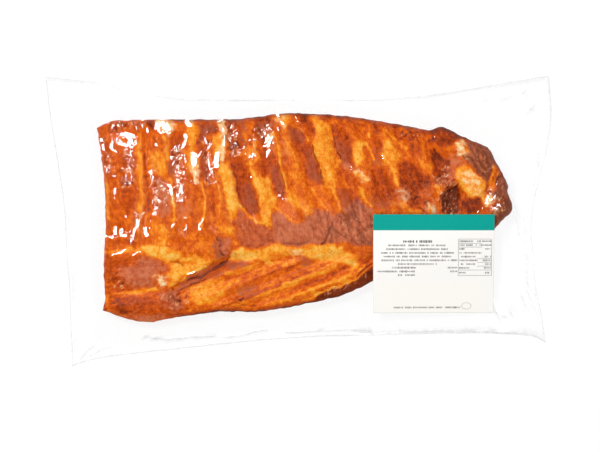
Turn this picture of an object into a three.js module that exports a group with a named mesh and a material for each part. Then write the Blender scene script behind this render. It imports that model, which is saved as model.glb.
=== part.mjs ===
import * as THREE from "three";

// A marinated rack of pork ribs, bone side up, vacuum-packed in a clear bag that carries a paper label.
// Millimetres, +Z up. In plan, +X runs along the rack to its thick shoulder end and +Y to the sawn rib tops.
// The bag's film clings to the meat, so the pack is one solid: the rack's own form, fused to the film's thin margin.

// Driving heights, above the surface that the pack lies on.
const meatHeight = 20.5; // meat between the ribs
const rimHeight = 10.5; // widest contour of the rack, halfway up its side
const rimRounding = 11; // how far in from that contour the top is flat again
const webHeight = 8; // where the film leaves the rack
const marginLift = 0.5; // lowest point of the film's free edge
const filmThickness = 0.8; // two plies of bag film, with air between them
const labelThickness = 0.3;
const labelGap = 0.4; // between the label and the film under it

// Mesh density.
const stepsAlong = 84;
const stepsAcross = 30;
const edgeLayers = [1.4, 2.4, 3.6, 5]; // spacing of the grid lines next to the rim

// Four edges of the rack, each a smooth curve from corner to corner.
const rackEdges = {
  bottom: curve([-162, -74], [-144, -80], [-127, -84], [-107, -81], [-69, -75.5], [-30, -74.5], [11, -67.5],
    [39, -60.5], [61, -50], [101, -29], [134, -15], [161, -7.5]),
  top: curve([-167, 77], [-150, 83], [-111, 84], [-65, 84], [-43, 85], [-11, 89], [26, 88], [59, 84], [93, 78],
    [107, 75], [119, 77.5], [136, 70], [157, 61]),
  left: curve([-162, -74], [-160, -60], [-161.5, -41], [-160, -9], [-160.5, 27], [-164, 61], [-167, 77]),
  right: curve([161, -7.5], [167, -1], [177, 10], [173, 24], [173, 30], [166, 44], [157, 61]),
};

// Four edges of the bag, pulled in between its corners by the vacuum.
const bagEdges = {
  bottom: curve([-188, -121], [-165, -114], [-115, -108], [-49, -101], [1, -97], [84, -94.5], [150, -93.5],
    [190, -95.5], [205, -101]),
  top: curve([-210, 119.5], [-169, 115.5], [-140, 108], [-98, 101.5], [-57, 101], [43, 100.5], [84, 102],
    [126, 107], [167, 114], [208, 121]),
  left: curve([-188, -121], [-190, -67], [-193, -21], [-195, 14], [-200.5, 50], [-207, 92], [-210, 119.5]),
  right: curve([205, -101], [202, -78], [198, -57], [195, -32], [193.5, -6], [195, 12], [200, 36], [206, 59],
    [210, 88], [208, 121]),
};

// The ribs lie under the membrane as raised bars. The first stands at the cut end, the others are evenly spaced,
// and each leans and reaches a little more than the one before it.
const ribCount = 10;
const rib = { cutEndTop: -130, firstTop: -114, lastTop: 92, height: 4.2, topY: 84, footY: -15, footRise: 3.4 };

// Muscles and fat that stand above the meat, or hollows below it: centre, half sizes, turn in degrees, height.
const mounds = {
  cutEndMuscle: { x: -148, y: 30, halfLength: 15, halfWidth: 44, turn: 0, height: 2 },
  flapOval: { x: -136, y: -42, halfLength: 36, halfWidth: 15, turn: -8, height: 3.2 },
  flapCorner: { x: -125, y: -71, halfLength: 40, halfWidth: 11, turn: 2, height: 2.6 },
  bellyMuscle: { x: -38, y: -9, halfLength: 17, halfWidth: 14, turn: -8, height: 2 },
  skirtMuscle: { x: 18, y: -4, halfLength: 46, halfWidth: 19, turn: -4, height: 2.8 },
  shoulderCap: { x: 122, y: 64, halfLength: 20, halfWidth: 11, turn: -22, height: 3 },
  outerMuscle: { x: 149, y: 50, halfLength: 19, halfWidth: 13, turn: -50, height: 3.4 },
  shoulderFat: { x: 141, y: 29, halfLength: 14, halfWidth: 10, turn: -35, height: 2.4 },
  endLobe: { x: 171, y: 25, halfLength: 11, halfWidth: 6, turn: -75, height: 3 },
  footLobe: { x: 169, y: 9, halfLength: 10, halfWidth: 9, turn: 0, height: 2.5 },
  foldHollow: { x: 127, y: 20, halfLength: 14, halfWidth: 7, turn: 68, height: -7.5 },
};

// Cuts and creases in the surface: a path, the half width of the furrow and its depth.
const furrows = {
  flapSlit: { path: curve([-55, -30], [-66, -36], [-80, -46], [-100, -56], [-104, -65]), halfWidth: 4.2, depth: 5 },
  shoulderSeam: { path: curve([104, 70], [107, 60], [113, 49], [118, 38]), halfWidth: 3, depth: 2.6 },
  endSeam: { path: curve([165, 35], [155, 22], [150, 6]), halfWidth: 3.4, depth: 3.6 },
};

// The loose flap of meat below the rib feet is thinner than the ribbed part, and its grain fans out in low ridges.
const flap = { startX: -165, startY: -25, endX: 70, endY: -20, drop: 3.6, blend: 13 };
const fan = { x: -112, y: -66, turn: 21, ridge: 1.2, pitch: 13 };

// The label lies level over the meat, then bends and slopes straight down past the rack's lower right edge, which is
// taken as a line through (x, y). How far round the label the film follows it is labelHold.
const label = { left: 61.5, right: 161.5, bottom: -76, top: 5.5, height: 24, columns: 18, rows: 15 };
const labelSlope = { x: 61, y: -50, turn: 23, bendLength: 22, bendRadius: 78 };
const labelHold = { border: 7, blend: 15 };

function curve(...points) {
  return new THREE.SplineCurve(points.map(([x, y]) => new THREE.Vector2(x, y)));
}

function smooth(t) {
  const s = THREE.MathUtils.clamp(t, 0, 1);
  return s * s * (3 - 2 * s);
}

// A Coons patch: the plan point at (u, v) inside four edge curves.
function patchPoint(edges, u, v) {
  const bottom = edges.bottom.getPointAt(u);
  const top = edges.top.getPointAt(u);
  const left = edges.left.getPointAt(v);
  const right = edges.right.getPointAt(v);
  const corners = edges.bottom.getPointAt(0).multiplyScalar((1 - u) * (1 - v))
    .addScaledVector(edges.bottom.getPointAt(1), u * (1 - v))
    .addScaledVector(edges.top.getPointAt(0), (1 - u) * v)
    .addScaledVector(edges.top.getPointAt(1), u * v);
  return bottom.multiplyScalar(1 - v).addScaledVector(top, v)
    .addScaledVector(left, 1 - u).addScaledVector(right, u)
    .sub(corners);
}

// Grid lines from 0 to 1: narrow layers at both ends, even steps between.
function gradedSteps(count, length) {
  const layers = edgeLayers.map((width) => width / length);
  const even = (1 - 2 * layers.reduce((sum, width) => sum + width, 0)) / (count - 2 * layers.length);
  const widths = [...layers, ...Array(count - 2 * layers.length).fill(even), ...layers.toReversed()];
  const lines = [0];
  for (const width of widths) lines.push(lines.at(-1) + width);
  lines[count] = 1;
  return lines;
}

// Distance from a plan point to a list of plan points joined by straight lines.
function pathDistance(x, y, points) {
  let nearest = Infinity;
  for (let i = 1; i < points.length; i++) {
    const a = points[i - 1];
    const b = points[i];
    const dx = b.x - a.x;
    const dy = b.y - a.y;
    const t = THREE.MathUtils.clamp(((x - a.x) * dx + (y - a.y) * dy) / (dx * dx + dy * dy), 0, 1);
    nearest = Math.min(nearest, Math.hypot(x - a.x - t * dx, y - a.y - t * dy));
  }
  return nearest;
}

function ribRelief(x, y) {
  let relief = 0;
  for (let i = 0; i < ribCount; i++) {
    const top = i === 0 ? rib.cutEndTop : THREE.MathUtils.lerp(rib.firstTop, rib.lastTop, (i - 1) / (ribCount - 2));
    const foot = rib.footY + rib.footRise * i;
    const down = rib.topY - y;
    const lean = i === 0 ? 0 : 0.1 + 0.028 * i;
    const centre = top + lean * down;
    const halfWidth = (i === 0 ? 5.5 : 7.5) + 0.25 * i;
    const across = Math.abs(x - centre) * Math.cos(Math.atan(lean));
    const bar = 1 - smooth((across - 0.25 * halfWidth) / halfWidth);
    const fade = 1 - smooth((foot + 6 - y) / 14);
    relief = Math.max(relief, rib.height * bar * fade);
  }
  return relief;
}

function moundRelief(x, y, mound) {
  const turn = THREE.MathUtils.degToRad(mound.turn);
  const along = ((x - mound.x) * Math.cos(turn) + (y - mound.y) * Math.sin(turn)) / mound.halfLength;
  const across = ((y - mound.y) * Math.cos(turn) - (x - mound.x) * Math.sin(turn)) / mound.halfWidth;
  return mound.height * (1 - smooth((Math.hypot(along, across) - 0.35) / 0.85));
}

for (const furrow of Object.values(furrows)) furrow.points = furrow.path.getPoints(12);

function furrowRelief(x, y, furrow) {
  const t = pathDistance(x, y, furrow.points) / furrow.halfWidth;
  return -furrow.depth * Math.exp(-t * t);
}

function flapRelief(x, y) {
  const lineY = THREE.MathUtils.mapLinear(x, flap.startX, flap.endX, flap.startY, flap.endY);
  const below = smooth((lineY - y) / flap.blend) * (1 - smooth((x - flap.endX) / 30));
  const turn = THREE.MathUtils.degToRad(fan.turn);
  const across = (y - fan.y) * Math.cos(turn) - (x - fan.x) * Math.sin(turn);
  const rightOfSlit = smooth((x + 90) / 25);
  return -below * (flap.drop - rightOfSlit * fan.ridge * Math.sin((across / fan.pitch) * 2 * Math.PI));
}

// Height of the meat's top face, before its rim rounds down.
function meatTop(x, y) {
  let height = meatHeight + ribRelief(x, y) + flapRelief(x, y);
  for (const mound of Object.values(mounds)) height += moundRelief(x, y, mound);
  for (const furrow of Object.values(furrows)) height += furrowRelief(x, y, furrow);
  return height;
}

function labelTop(x, y) {
  const turn = THREE.MathUtils.degToRad(labelSlope.turn);
  const out = (x - labelSlope.x) * Math.sin(turn) - (y - labelSlope.y) * Math.cos(turn);
  const bent = THREE.MathUtils.clamp(out + labelSlope.bendLength, 0, labelSlope.bendLength);
  const sloped = Math.max(0, out) * labelSlope.bendLength;
  return label.height - (bent * bent / 2 + sloped) / labelSlope.bendRadius;
}

// The film follows the label's underside beneath it and a little way round it.
function underLabel(x, y, height) {
  const beyond = Math.hypot(
    Math.max(label.left - x, x - label.right, 0),
    Math.max(label.bottom - y, y - label.top, 0),
  );
  const hold = 1 - smooth((beyond - labelHold.border) / labelHold.blend);
  return THREE.MathUtils.lerp(height, labelTop(x, y) - labelGap, hold);
}

// Middle height of the film's margin, a share out from the rack to the bag's edge; it ripples towards the edge.
function marginMiddle(x, y, share) {
  const ripple = 2 + Math.sin(x / 13 + y / 21) + Math.sin(y / 9 - x / 31);
  return marginLift + filmThickness / 2 + 0.7 * ripple * share + (webHeight - filmThickness) * (1 - share) ** 2.2;
}

class Shell {
  vertices = [];
  faces = [];

  add(x, y, z) {
    this.vertices.push(x, y, z);
    return this.vertices.length / 3 - 1;
  }

  quad(a, b, c, d) {
    this.faces.push(a, b, c, a, c, d);
  }

  // Joins two closed loops of equal length, the second further along the surface.
  join(from, to) {
    from.forEach((a, i) => {
      const next = (i + 1) % from.length;
      this.quad(a, to[i], to[next], from[next]);
    });
  }

  geometry() {
    const made = new THREE.BufferGeometry();
    made.setAttribute("position", new THREE.Float32BufferAttribute(this.vertices, 3));
    made.setIndex(this.faces);
    made.computeVertexNormals();
    return made;
  }
}

// The items round the edge of a grid of rows, counterclockwise from its lower left corner.
function gridRim(grid) {
  return [
    ...grid[0].slice(0, -1),
    ...grid.slice(0, -1).map((row) => row.at(-1)),
    ...grid.at(-1).slice(1).toReversed(),
    ...grid.slice(1).toReversed().map((row) => row[0]),
  ];
}

function bagGeometry() {
  const shell = new Shell();
  const alongLines = gradedSteps(stepsAlong, 330);
  const acrossLines = gradedSteps(stepsAcross, 155);
  const loop = gridRim(acrossLines.map((v) => alongLines.map((u) => ({ u, v }))));
  const rim = loop.map(({ u, v }) => patchPoint(rackEdges, u, v));
  const edge = loop.map(({ u, v }) => patchPoint(bagEdges, u, v));
  const closedRim = [...rim, rim[0]];

  // The meat's top: a grid whose outermost lines are the rim.
  const grid = acrossLines.map((v) => alongLines.map((u) => {
    const { x, y } = patchPoint(rackEdges, u, v);
    const inward = 1 - Math.min(pathDistance(x, y, closedRim) / rimRounding, 1);
    const rounded = Math.sqrt(1 - inward * inward);
    const height = THREE.MathUtils.lerp(rimHeight, meatTop(x, y), rounded);
    return shell.add(x, y, underLabel(x, y, height));
  }));
  for (let j = 0; j < stepsAcross; j++)
    for (let i = 0; i < stepsAlong; i++)
      shell.quad(grid[j][i], grid[j][i + 1], grid[j + 1][i + 1], grid[j + 1][i]);

  // The film: a short web off the rack, then the margin out to the bag's edge, on its top and its underside.
  const shares = [0, 0.16, 0.42, 0.8, 1];
  const webWidth = 3;
  const ply = (share, side) => rim.map((from, k) => {
    const outward = edge[k].clone().sub(from);
    const reach = webWidth + share * (outward.length() - webWidth);
    const { x, y } = from.clone().addScaledVector(outward.normalize(), reach);
    const middle = underLabel(x, y, marginMiddle(x, y, share) + filmThickness / 2) - filmThickness / 2;
    return shell.add(x, y, middle + (side * filmThickness) / 2);
  });
  const topPlies = shares.map((share) => ply(share, 1));
  const underPlies = shares.toReversed().map((share) => ply(share, -1));

  // The rack's underside, turning in to the flat face that the pack rests on.
  const underside = (inset, height) => loop.map(({ u, v }) => {
    const { x, y } = patchPoint(rackEdges, 0.5 + (u - 0.5) * (1 - inset / 165), 0.5 + (v - 0.5) * (1 - inset / 78));
    return { x, y, index: shell.add(x, y, height) };
  });
  const heel = underside(2.5, 3.4);
  const base = underside(9, 0);

  const loops = [gridRim(grid), ...topPlies, ...underPlies, heel.map((p) => p.index), base.map((p) => p.index)];
  for (let k = 1; k < loops.length; k++) shell.join(loops[k - 1], loops[k]);
  const contour = base.map((p) => new THREE.Vector2(p.x, p.y));
  for (const [a, b, c] of THREE.ShapeUtils.triangulateShape(contour, []))
    shell.faces.push(base[a].index, base[c].index, base[b].index);
  return shell.geometry();
}

function labelGeometry() {
  const shell = new Shell();
  const lines = (count) => Array.from({ length: count + 1 }, (_, i) => i / count);
  const face = (lift) => lines(label.rows).map((v) => lines(label.columns).map((u) => {
    const x = THREE.MathUtils.lerp(label.left, label.right, u);
    const y = THREE.MathUtils.lerp(label.bottom, label.top, v);
    return shell.add(x, y, labelTop(x, y) + lift);
  }));
  const top = face(labelThickness);
  const under = face(0);
  for (let j = 0; j < label.rows; j++)
    for (let i = 0; i < label.columns; i++) {
      shell.quad(top[j][i], top[j][i + 1], top[j + 1][i + 1], top[j + 1][i]);
      shell.quad(under[j][i], under[j + 1][i], under[j + 1][i + 1], under[j][i + 1]);
    }
  shell.join(gridRim(top), gridRim(under));
  return shell.geometry();
}

function namedMesh(name, geometry, material) {
  const mesh = new THREE.Mesh(geometry, new THREE.MeshStandardMaterial(material));
  mesh.name = name;
  return mesh;
}

const pack = new THREE.Group();
pack.add(
  namedMesh("bagged_rack", bagGeometry(), { color: 0xc65a16, roughness: 0.35, metalness: 0 }),
  namedMesh("label", labelGeometry(), { color: 0xf6f3ee, roughness: 0.5, metalness: 0 }),
);

// The part's origin is the bottom centre of the pack.
const extent = new THREE.Box3().setFromObject(pack);
const middle = extent.getCenter(new THREE.Vector3());
pack.position.set(-middle.x, -middle.y, -extent.min.z);

const part = new THREE.Group();
part.add(pack);

export default part;
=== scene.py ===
# A marinated rack of pork ribs in a clear vacuum bag, with a paper label on the bag.
# Plan sizes and heights are millimetres in the part's frame: +X along the rack, +Y to the sawn rib ends, +Z up.
# They become metres when a mesh is made.
import math

import bpy
import numpy as np
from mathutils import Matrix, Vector
from mathutils.kdtree import KDTree


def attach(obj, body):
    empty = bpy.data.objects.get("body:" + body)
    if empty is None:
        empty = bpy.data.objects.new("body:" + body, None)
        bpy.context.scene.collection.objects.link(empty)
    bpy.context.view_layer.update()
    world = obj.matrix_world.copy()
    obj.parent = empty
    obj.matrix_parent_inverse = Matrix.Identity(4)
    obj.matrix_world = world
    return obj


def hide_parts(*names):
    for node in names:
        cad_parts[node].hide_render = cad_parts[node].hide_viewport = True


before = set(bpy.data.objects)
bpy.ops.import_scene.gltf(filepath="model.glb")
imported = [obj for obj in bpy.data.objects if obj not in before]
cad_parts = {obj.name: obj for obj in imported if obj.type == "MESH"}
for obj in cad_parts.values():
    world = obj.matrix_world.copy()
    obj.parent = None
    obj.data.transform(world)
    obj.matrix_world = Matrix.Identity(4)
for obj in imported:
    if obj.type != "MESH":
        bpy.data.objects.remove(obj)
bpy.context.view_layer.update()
mm = 0.001
scene = bpy.context.scene
print("frame loaded:", sorted(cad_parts))


# Plain maths that every piece uses.

def smooth(t):
    s = np.clip(t, 0, 1)
    return s * s * (3 - 2 * s)


def grow(value, start, width):  # 0 up to the start, 1 from a width further on
    return smooth((value - start) / width)


def mix(a, b, share):
    return a + (b - a) * share


def asPlan(x, y):
    return np.stack([x, y], -1)


def noise(x, y, cell, seed, layers=1):  # smooth lattice noise from -1 to 1, cell is its largest feature
    total = 0
    weight = 0
    size = 256
    for layer in range(layers):
        table = np.random.default_rng(seed + layer).uniform(-1, 1, (size, size))
        gx = np.asarray(x) / cell * 2 ** layer
        gy = np.asarray(y) / cell * 2 ** layer
        ix = np.floor(gx).astype(int)
        iy = np.floor(gy).astype(int)
        fx = smooth(gx - ix)
        fy = smooth(gy - iy)
        low = mix(table[iy % size, ix % size], table[iy % size, (ix + 1) % size], fx)
        high = mix(table[(iy + 1) % size, ix % size], table[(iy + 1) % size, (ix + 1) % size], fx)
        total = total + mix(low, high, fy) * 0.5 ** layer
        weight += 0.5 ** layer
    return total / weight


noiseForms = {  # largest feature, seed, layers, height or share
    "rack outline": (8, 51, 2, 0.55),
    "rack outline fine": (3, 52, 1, 0.33),
    "bag outline": (12, 71, 2, 0.35),
    "field edge": (5, 37, 2, 0.3),
    "streaks": (2.4, 15, 3, 1),
    "lumps": (17, 21, 2, 0.5),
    "small lumps": (6, 22, 2, 0.22),
    "fibres": (2.6, 23, 2, 0.2),
    "wrinkles": (3.6, 24, 2, 1),
    "marinade": (24, 25, 2, 0.06),
    "rim gaps": (11, 26, 2, 1),
    "rim width": (5, 27, 2, 0.5),
    "side lumps": (14, 61, 2, 0.5),
    "film ridges": (7, 31, 2, 2),
    "film swells": (6, 32, 2, 0.2),
    "margin crumple": (11, 72, 3, 0.35),
    "margin creases": (15, 75, 2, 1),
    "label wave": (16, 81, 2, 0.1),
}
shiftForms = {  # noises that move plan points, so that an edge frays: largest feature, seeds for x and y, reach
    "marks": [(9, 11, 13, 1.3), (3.2, 12, 14, 0.8)],
    "blisters": [(3.5, 33, 35, 0.6), (1.8, 34, 36, 0.6)],
    "folds": [(6, 41, 42, 0.5)],
}


def rough(name, x, y):
    cell, seed, layers, height = noiseForms[name]
    return height * noise(x, y, cell, seed, layers)


def shifted(name, x, y):
    wx, wy = x, y
    for cell, seedX, seedY, reach in shiftForms[name]:
        wx = wx + reach * noise(x, y, cell, seedX)
        wy = wy + reach * noise(x, y, cell, seedY)
    return wx, wy


def turned(x, y, middleX, middleY, turn):  # distances along and across an axis that is turned about its middle
    c, s = math.cos(turn), math.sin(turn)
    return (x - middleX) * c + (y - middleY) * s, (y - middleY) * c - (x - middleX) * s


def curveThrough(points, steps=1000):  # a smooth curve through the points, cut at even steps along its length
    p = np.array([points[0], *points, points[-1]], float)
    samples = 40
    t = np.linspace(0, 1, samples, endpoint=False)[:, None]
    spans = []
    for before, start, end, after in zip(p, p[1:], p[2:], p[3:]):
        leave = (end - before) / 2
        arrive = (after - start) / 2
        spans.append(start + leave * t + (3 * (end - start) - 2 * leave - arrive) * t ** 2
                     + (2 * (start - end) + leave + arrive) * t ** 3)
    line = np.vstack([*spans, p[-1:]])
    length = np.concatenate([[0], np.cumsum(np.linalg.norm(np.diff(line, axis=0), axis=1))])
    even = np.linspace(0, length[-1], steps + 1)
    return np.column_stack([np.interp(even, length, line[:, k]) for k in (0, 1)])


def along(line, share):
    at = np.linspace(0, 1, len(line))
    return np.stack([np.interp(share, at, line[:, k]) for k in (0, 1)], -1)


def pathDistance(x, y, points):  # from plan points to a path of straight spans
    nearest = np.full(np.shape(x), np.inf)
    for (ax, ay), (bx, by) in zip(points, points[1:]):
        dx, dy = bx - ax, by - ay
        t = np.clip(((x - ax) * dx + (y - ay) * dy) / (dx * dx + dy * dy), 0, 1)
        nearest = np.minimum(nearest, np.hypot(x - ax - t * dx, y - ay - t * dy))
    return nearest


def nearPath(x, y, points, reach):  # which plan points lie in the path's box
    low, high = np.min(points, 0) - reach, np.max(points, 0) + reach
    return np.nonzero((x > low[0]) & (x < high[0]) & (y > low[1]) & (y < high[1]))


def insideDepth(x, y, outline):  # how far inside a closed outline, less than 0 outside it
    corners = [*outline, outline[0]]
    inside = np.zeros(np.shape(x), bool)
    for (ax, ay), (bx, by) in zip(corners, corners[1:]):
        if ay != by:
            inside ^= ((ay > y) != (by > y)) & (x < ax + (y - ay) * (bx - ax) / (by - ay))
    return np.where(inside, 1, -1) * pathDistance(x, y, corners)


# Outlines in plan: each is four edges, and a patch of grid lines spans between them.

rackOutline = {
    "bottom": [(-162, -74), (-144, -80), (-127, -84), (-107, -81), (-69, -75.5), (-30, -74.5), (11, -67.5),
               (39, -60.5), (61, -50), (101, -29), (134, -15), (161, -7.5)],
    "top": [(-167, 77), (-150, 83), (-111, 84), (-65, 84), (-43, 85), (-11, 89), (26, 88), (59, 84), (93, 78),
            (107, 75), (119, 77.5), (136, 70), (157, 61)],
    "left": [(-162, -74), (-160, -60), (-161.5, -41), (-160, -9), (-160.5, 27), (-164, 61), (-167, 77)],
    "right": [(161, -7.5), (167, -1), (177, 10), (173, 24), (173, 30), (166, 44), (157, 61)],
}
bagOutline = {
    "bottom": [(-188, -121), (-165, -114), (-115, -108), (-49, -101), (1, -97), (84, -94.5), (150, -93.5),
               (190, -95.5), (205, -101)],
    "top": [(-210, 119.5), (-169, 115.5), (-140, 108), (-98, 101.5), (-57, 101), (43, 100.5), (84, 102),
            (126, 107), (167, 114), (208, 121)],
    "left": [(-188, -121), (-190, -67), (-193, -21), (-195, 14), (-200.5, 50), (-207, 92), (-210, 119.5)],
    "right": [(205, -101), (202, -78), (198, -57), (195, -32), (193.5, -6), (195, 12), (200, 36), (206, 59),
              (210, 88), (208, 121)],
}


def curvedEdges(outline):
    return {name: curveThrough(points) for name, points in outline.items()}


def closedLoop(edges):
    return np.vstack([edges["bottom"][:-1], edges["right"][:-1], edges["top"][:0:-1], edges["left"][:0:-1]])


def moveOutwards(edges, distance):  # distance holds one size for each point of the closed loop
    loop = closedLoop(edges)
    reach = 6
    ahead = np.roll(loop, -reach, 0) - np.roll(loop, reach, 0)
    outward = np.column_stack([ahead[:, 1], -ahead[:, 0]]) / np.linalg.norm(ahead, axis=1)[:, None]
    moved = loop + outward * distance[:, None]
    moved = np.vstack([moved, moved[:1]])
    steps = len(edges["bottom"]) - 1
    return {
        "bottom": moved[:steps + 1],
        "right": moved[steps:2 * steps + 1],
        "top": moved[2 * steps:3 * steps + 1][::-1],
        "left": moved[3 * steps:][::-1],
    }


def patch(edges, u, v):
    u, v = np.broadcast_arrays(u, v)
    bottom, top = along(edges["bottom"], u), along(edges["top"], u)
    left, right = along(edges["left"], v), along(edges["right"], v)
    u, v = u[..., None], v[..., None]
    corners = (edges["bottom"][0] * (1 - u) * (1 - v) + edges["bottom"][-1] * u * (1 - v)
               + edges["top"][0] * (1 - u) * v + edges["top"][-1] * u * v)
    return bottom * (1 - v) + top * v + left * (1 - u) + right * u - corners


gridForm = {"length": 330, "width": 155, "rimSteps": [0.12, 0.3, 0.45, 0.6, 0.75]}
underForm = {"halfLength": 165, "halfWidth": 78, "inset": 74}


def gradedLines(count, length):  # from 0 to 1 with narrow steps at both ends
    narrow = np.array(gridForm["rimSteps"]) / length
    broad = count - 2 * len(narrow)
    even = np.full(broad, (1 - 2 * narrow.sum()) / broad)
    return np.concatenate([[0], np.cumsum([*narrow, *even, *narrow[::-1]])]).clip(0, 1)


def gridOver(edges, columns, rows):  # a patch's lines and the plan points where they cross
    u, v = np.meshgrid(gradedLines(columns, gridForm["length"]), gradedLines(rows, gridForm["width"]))
    return u, v, patch(edges, u, v)


def gridRim(grid):  # the items round a grid, counterclockwise
    return np.concatenate([grid[0, :-1], grid[:-1, -1], grid[-1, :0:-1], grid[:0:-1, 0]])


def insetRing(edges, loopU, loopV, amount):
    return patch(edges, 0.5 + (loopU - 0.5) * (1 - amount / underForm["halfLength"]),
                 0.5 + (loopV - 0.5) * (1 - amount / underForm["halfWidth"]))


class Skin:  # points and faces of one closed surface
    def __init__(self):
        self.points = []
        self.faces = []
        self.count = 0

    def add(self, plan, height):
        plan = np.asarray(plan, float)
        height = np.broadcast_to(height, plan.shape[:-1])
        self.points.append(np.dstack([plan[..., 0].ravel(), plan[..., 1].ravel(), height.ravel()])[0])
        index = np.arange(self.count, self.count + height.size).reshape(height.shape)
        self.count += height.size
        return index

    def cover(self, grid, facingUp=True):
        corners = [grid[:-1, :-1], grid[:-1, 1:], grid[1:, 1:], grid[1:, :-1]]
        self.faces += np.stack(corners if facingUp else corners[::-1], -1).reshape(-1, 4).tolist()

    def join(self, start, end):  # the second loop lies further along the surface
        self.faces += np.stack([start, end, np.roll(end, -1), np.roll(start, -1)], -1).tolist()

    def joinAll(self, loops):
        for start, end in zip(loops, loops[1:]):
            self.join(start, end)

    def close(self, loop, plan, height):  # a fan to one middle point
        middle = int(self.add(np.array([plan]), height)[0])
        self.faces += [(int(a), middle, int(b)) for a, b in zip(loop, np.roll(loop, -1))]

    def mesh(self, name, attributes):  # attributes are functions of plan x, y and height
        xyz = np.vstack(self.points)
        made = bpy.data.meshes.new(name)
        made.from_pydata((xyz * mm).tolist(), [], self.faces)
        made.polygons.foreach_set("use_smooth", [True] * len(made.polygons))
        for attribute, values in attributes(*xyz.T).items():
            layer = made.attributes.new(attribute, "FLOAT_VECTOR", "POINT")
            layer.data.foreach_set("vector", np.stack(values, -1).astype(np.float32).ravel())
        made.update()
        return placePiece(name, made)


def placePiece(name, made):
    piece = bpy.data.objects.new(name, made)
    scene.collection.objects.link(piece)
    return piece


class RimDistance:  # how far inside an outline a plan point lies
    def __init__(self, edges):
        self.loop = closedLoop(edges)
        self.tree = KDTree(len(self.loop))
        for index, (x, y) in enumerate(self.loop):
            self.tree.insert((x, y, 0), index)
        self.tree.balance()

    def nearest(self, plan):
        return np.array([self.tree.find((x, y, 0))[1] for x, y in plan])

    def __call__(self, plan):
        points = plan.reshape(-1, 2)
        index = self.nearest(points)
        count = len(self.loop)
        best = np.full(len(points), np.inf)
        for a, b in ((index - 1, index), (index, index + 1)):
            start, end = self.loop[a % count], self.loop[b % count]
            span = end - start
            t = np.clip(np.sum((points - start) * span, 1) / np.sum(span * span, 1), 0, 1)[:, None]
            best = np.minimum(best, np.linalg.norm(points - start - t * span, axis=1))
        return best.reshape(plan.shape[:-1])

    def overGrid(self, plan):  # with exactly 0 on the grid's own rim
        inward = self(plan)
        inward[0] = inward[-1] = 0
        inward[:, 0] = inward[:, -1] = 0
        return inward

    def outside(self, plan):  # 1 beyond the outline, 0 within it
        index = self.nearest(plan)
        count, reach = len(self.loop), 3
        ahead = self.loop[(index + reach) % count] - self.loop[(index - reach) % count]
        offset = plan - self.loop[index]
        return (ahead[:, 0] * offset[:, 1] - ahead[:, 1] * offset[:, 0] < 0).astype(float)


# The rack's form: rib bars under the membrane, muscles, hollows, cuts and the loose flap.

rackForm = {
    "columns": 400, "rows": 186,
    "meatHeight": 20.5,
    "rimHeight": 10.5,
    "rimRounding": 11,
    "ribHeight": 4.2,
    "leastHeight": 2,
    "baseInset": 9,
    "baseHeight": 0.7,
    "sideRings": 9,
    "underRings": 9,
    "lumpsFade": 4,
}
ribLines = [  # half width, y of the foot, centre line from the sawn end to the foot
    (5.5, -15, [(-132, 84), (-132, 71), (-131, 38), (-130, 13), (-134, -9), (-136, -25)]),
    (7.7, -11.6, [(-115, 88), (-115, 69), (-114, 52), (-110, 34), (-104, 5), (-99, -20)]),
    (8.0, -8.2, [(-89, 88), (-89, 81), (-88, 59), (-85, 34), (-77, -2), (-73, -18)]),
    (8.2, -4.8, [(-66, 88), (-66, 81), (-63, 55), (-59, 27), (-50, -6), (-47, -16)]),
    (8.5, -1.4, [(-42, 90), (-42, 83), (-38, 52), (-32, 27), (-24, -5), (-22, -12)]),
    (8.8, 2, [(-15, 92), (-14, 87), (-10, 66), (-5, 41), (8, 7), (12, -4)]),
    (9.0, 5.4, [(10, 94), (12, 87), (18, 62), (26, 37), (40, 4), (43, -3)]),
    (9.2, 8.8, [(38, 92), (39, 85), (47, 61), (54, 37), (64, 11), (67, 2)]),
    (9.5, 12.2, [(62, 90), (65, 83), (73, 61), (78, 41), (87, 15), (90, 6)]),
    (9.8, 15.6, [(90, 84), (92, 77), (98, 59), (106, 38), (115, 16), (118, 8)]),
]
ribForm = {"flatShare": 0.25, "footLift": 6, "footBlend": 14}
mounds = {  # centre x, y, half length, half width, turn in degrees, height
    "cut end muscle": (-148, 30, 15, 44, 0, 2),
    "flap oval": (-136, -42, 36, 15, -8, 3.2),
    "flap corner": (-125, -71, 40, 11, 2, 2.6),
    "belly muscle": (-38, -9, 17, 14, -8, 2),
    "skirt muscle": (18, -4, 46, 19, -4, 2.8),
    "shoulder cap": (122, 64, 20, 11, -22, 3),
    "outer muscle": (149, 50, 19, 13, -50, 3.4),
    "shoulder fat": (141, 29, 14, 10, -35, 2.4),
    "end lobe": (171, 25, 11, 6, -75, 3),
    "foot lobe": (169, 9, 10, 9, 0, 2.5),
    "fold hollow": (127, 20, 14, 7, 68, -7.5),
}
moundFade = (0.35, 0.85)  # in half lengths: from where a mound falls, and over what width
furrows = {  # half width, depth, path
    "flap slit": (4.2, 5, [(-55, -30), (-66, -36), (-80, -46), (-100, -56), (-104, -65)]),
    "shoulder seam": (3, 1.5, [(104, 70), (107, 60), (113, 49), (118, 38)]),
    "end seam": (3.4, 3.6, [(165, 35), (155, 22), (150, 6)]),
}
furrowSteps = 24
flap = {"startX": -165, "startY": -25, "endX": 70, "endY": -20, "drop": 3.6, "blend": 13, "endBlend": 30}
fan = {"axis": (-112, -66, math.radians(21)), "fade": (-90, 25), "ridge": 1.2, "pitch": 13}


def flapShare(x, y):
    lineY = mix(flap["startY"], flap["endY"], (x - flap["startX"]) / (flap["endX"] - flap["startX"]))
    return smooth((lineY - y) / flap["blend"]) * (1 - grow(x, flap["endX"], flap["endBlend"]))


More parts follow.
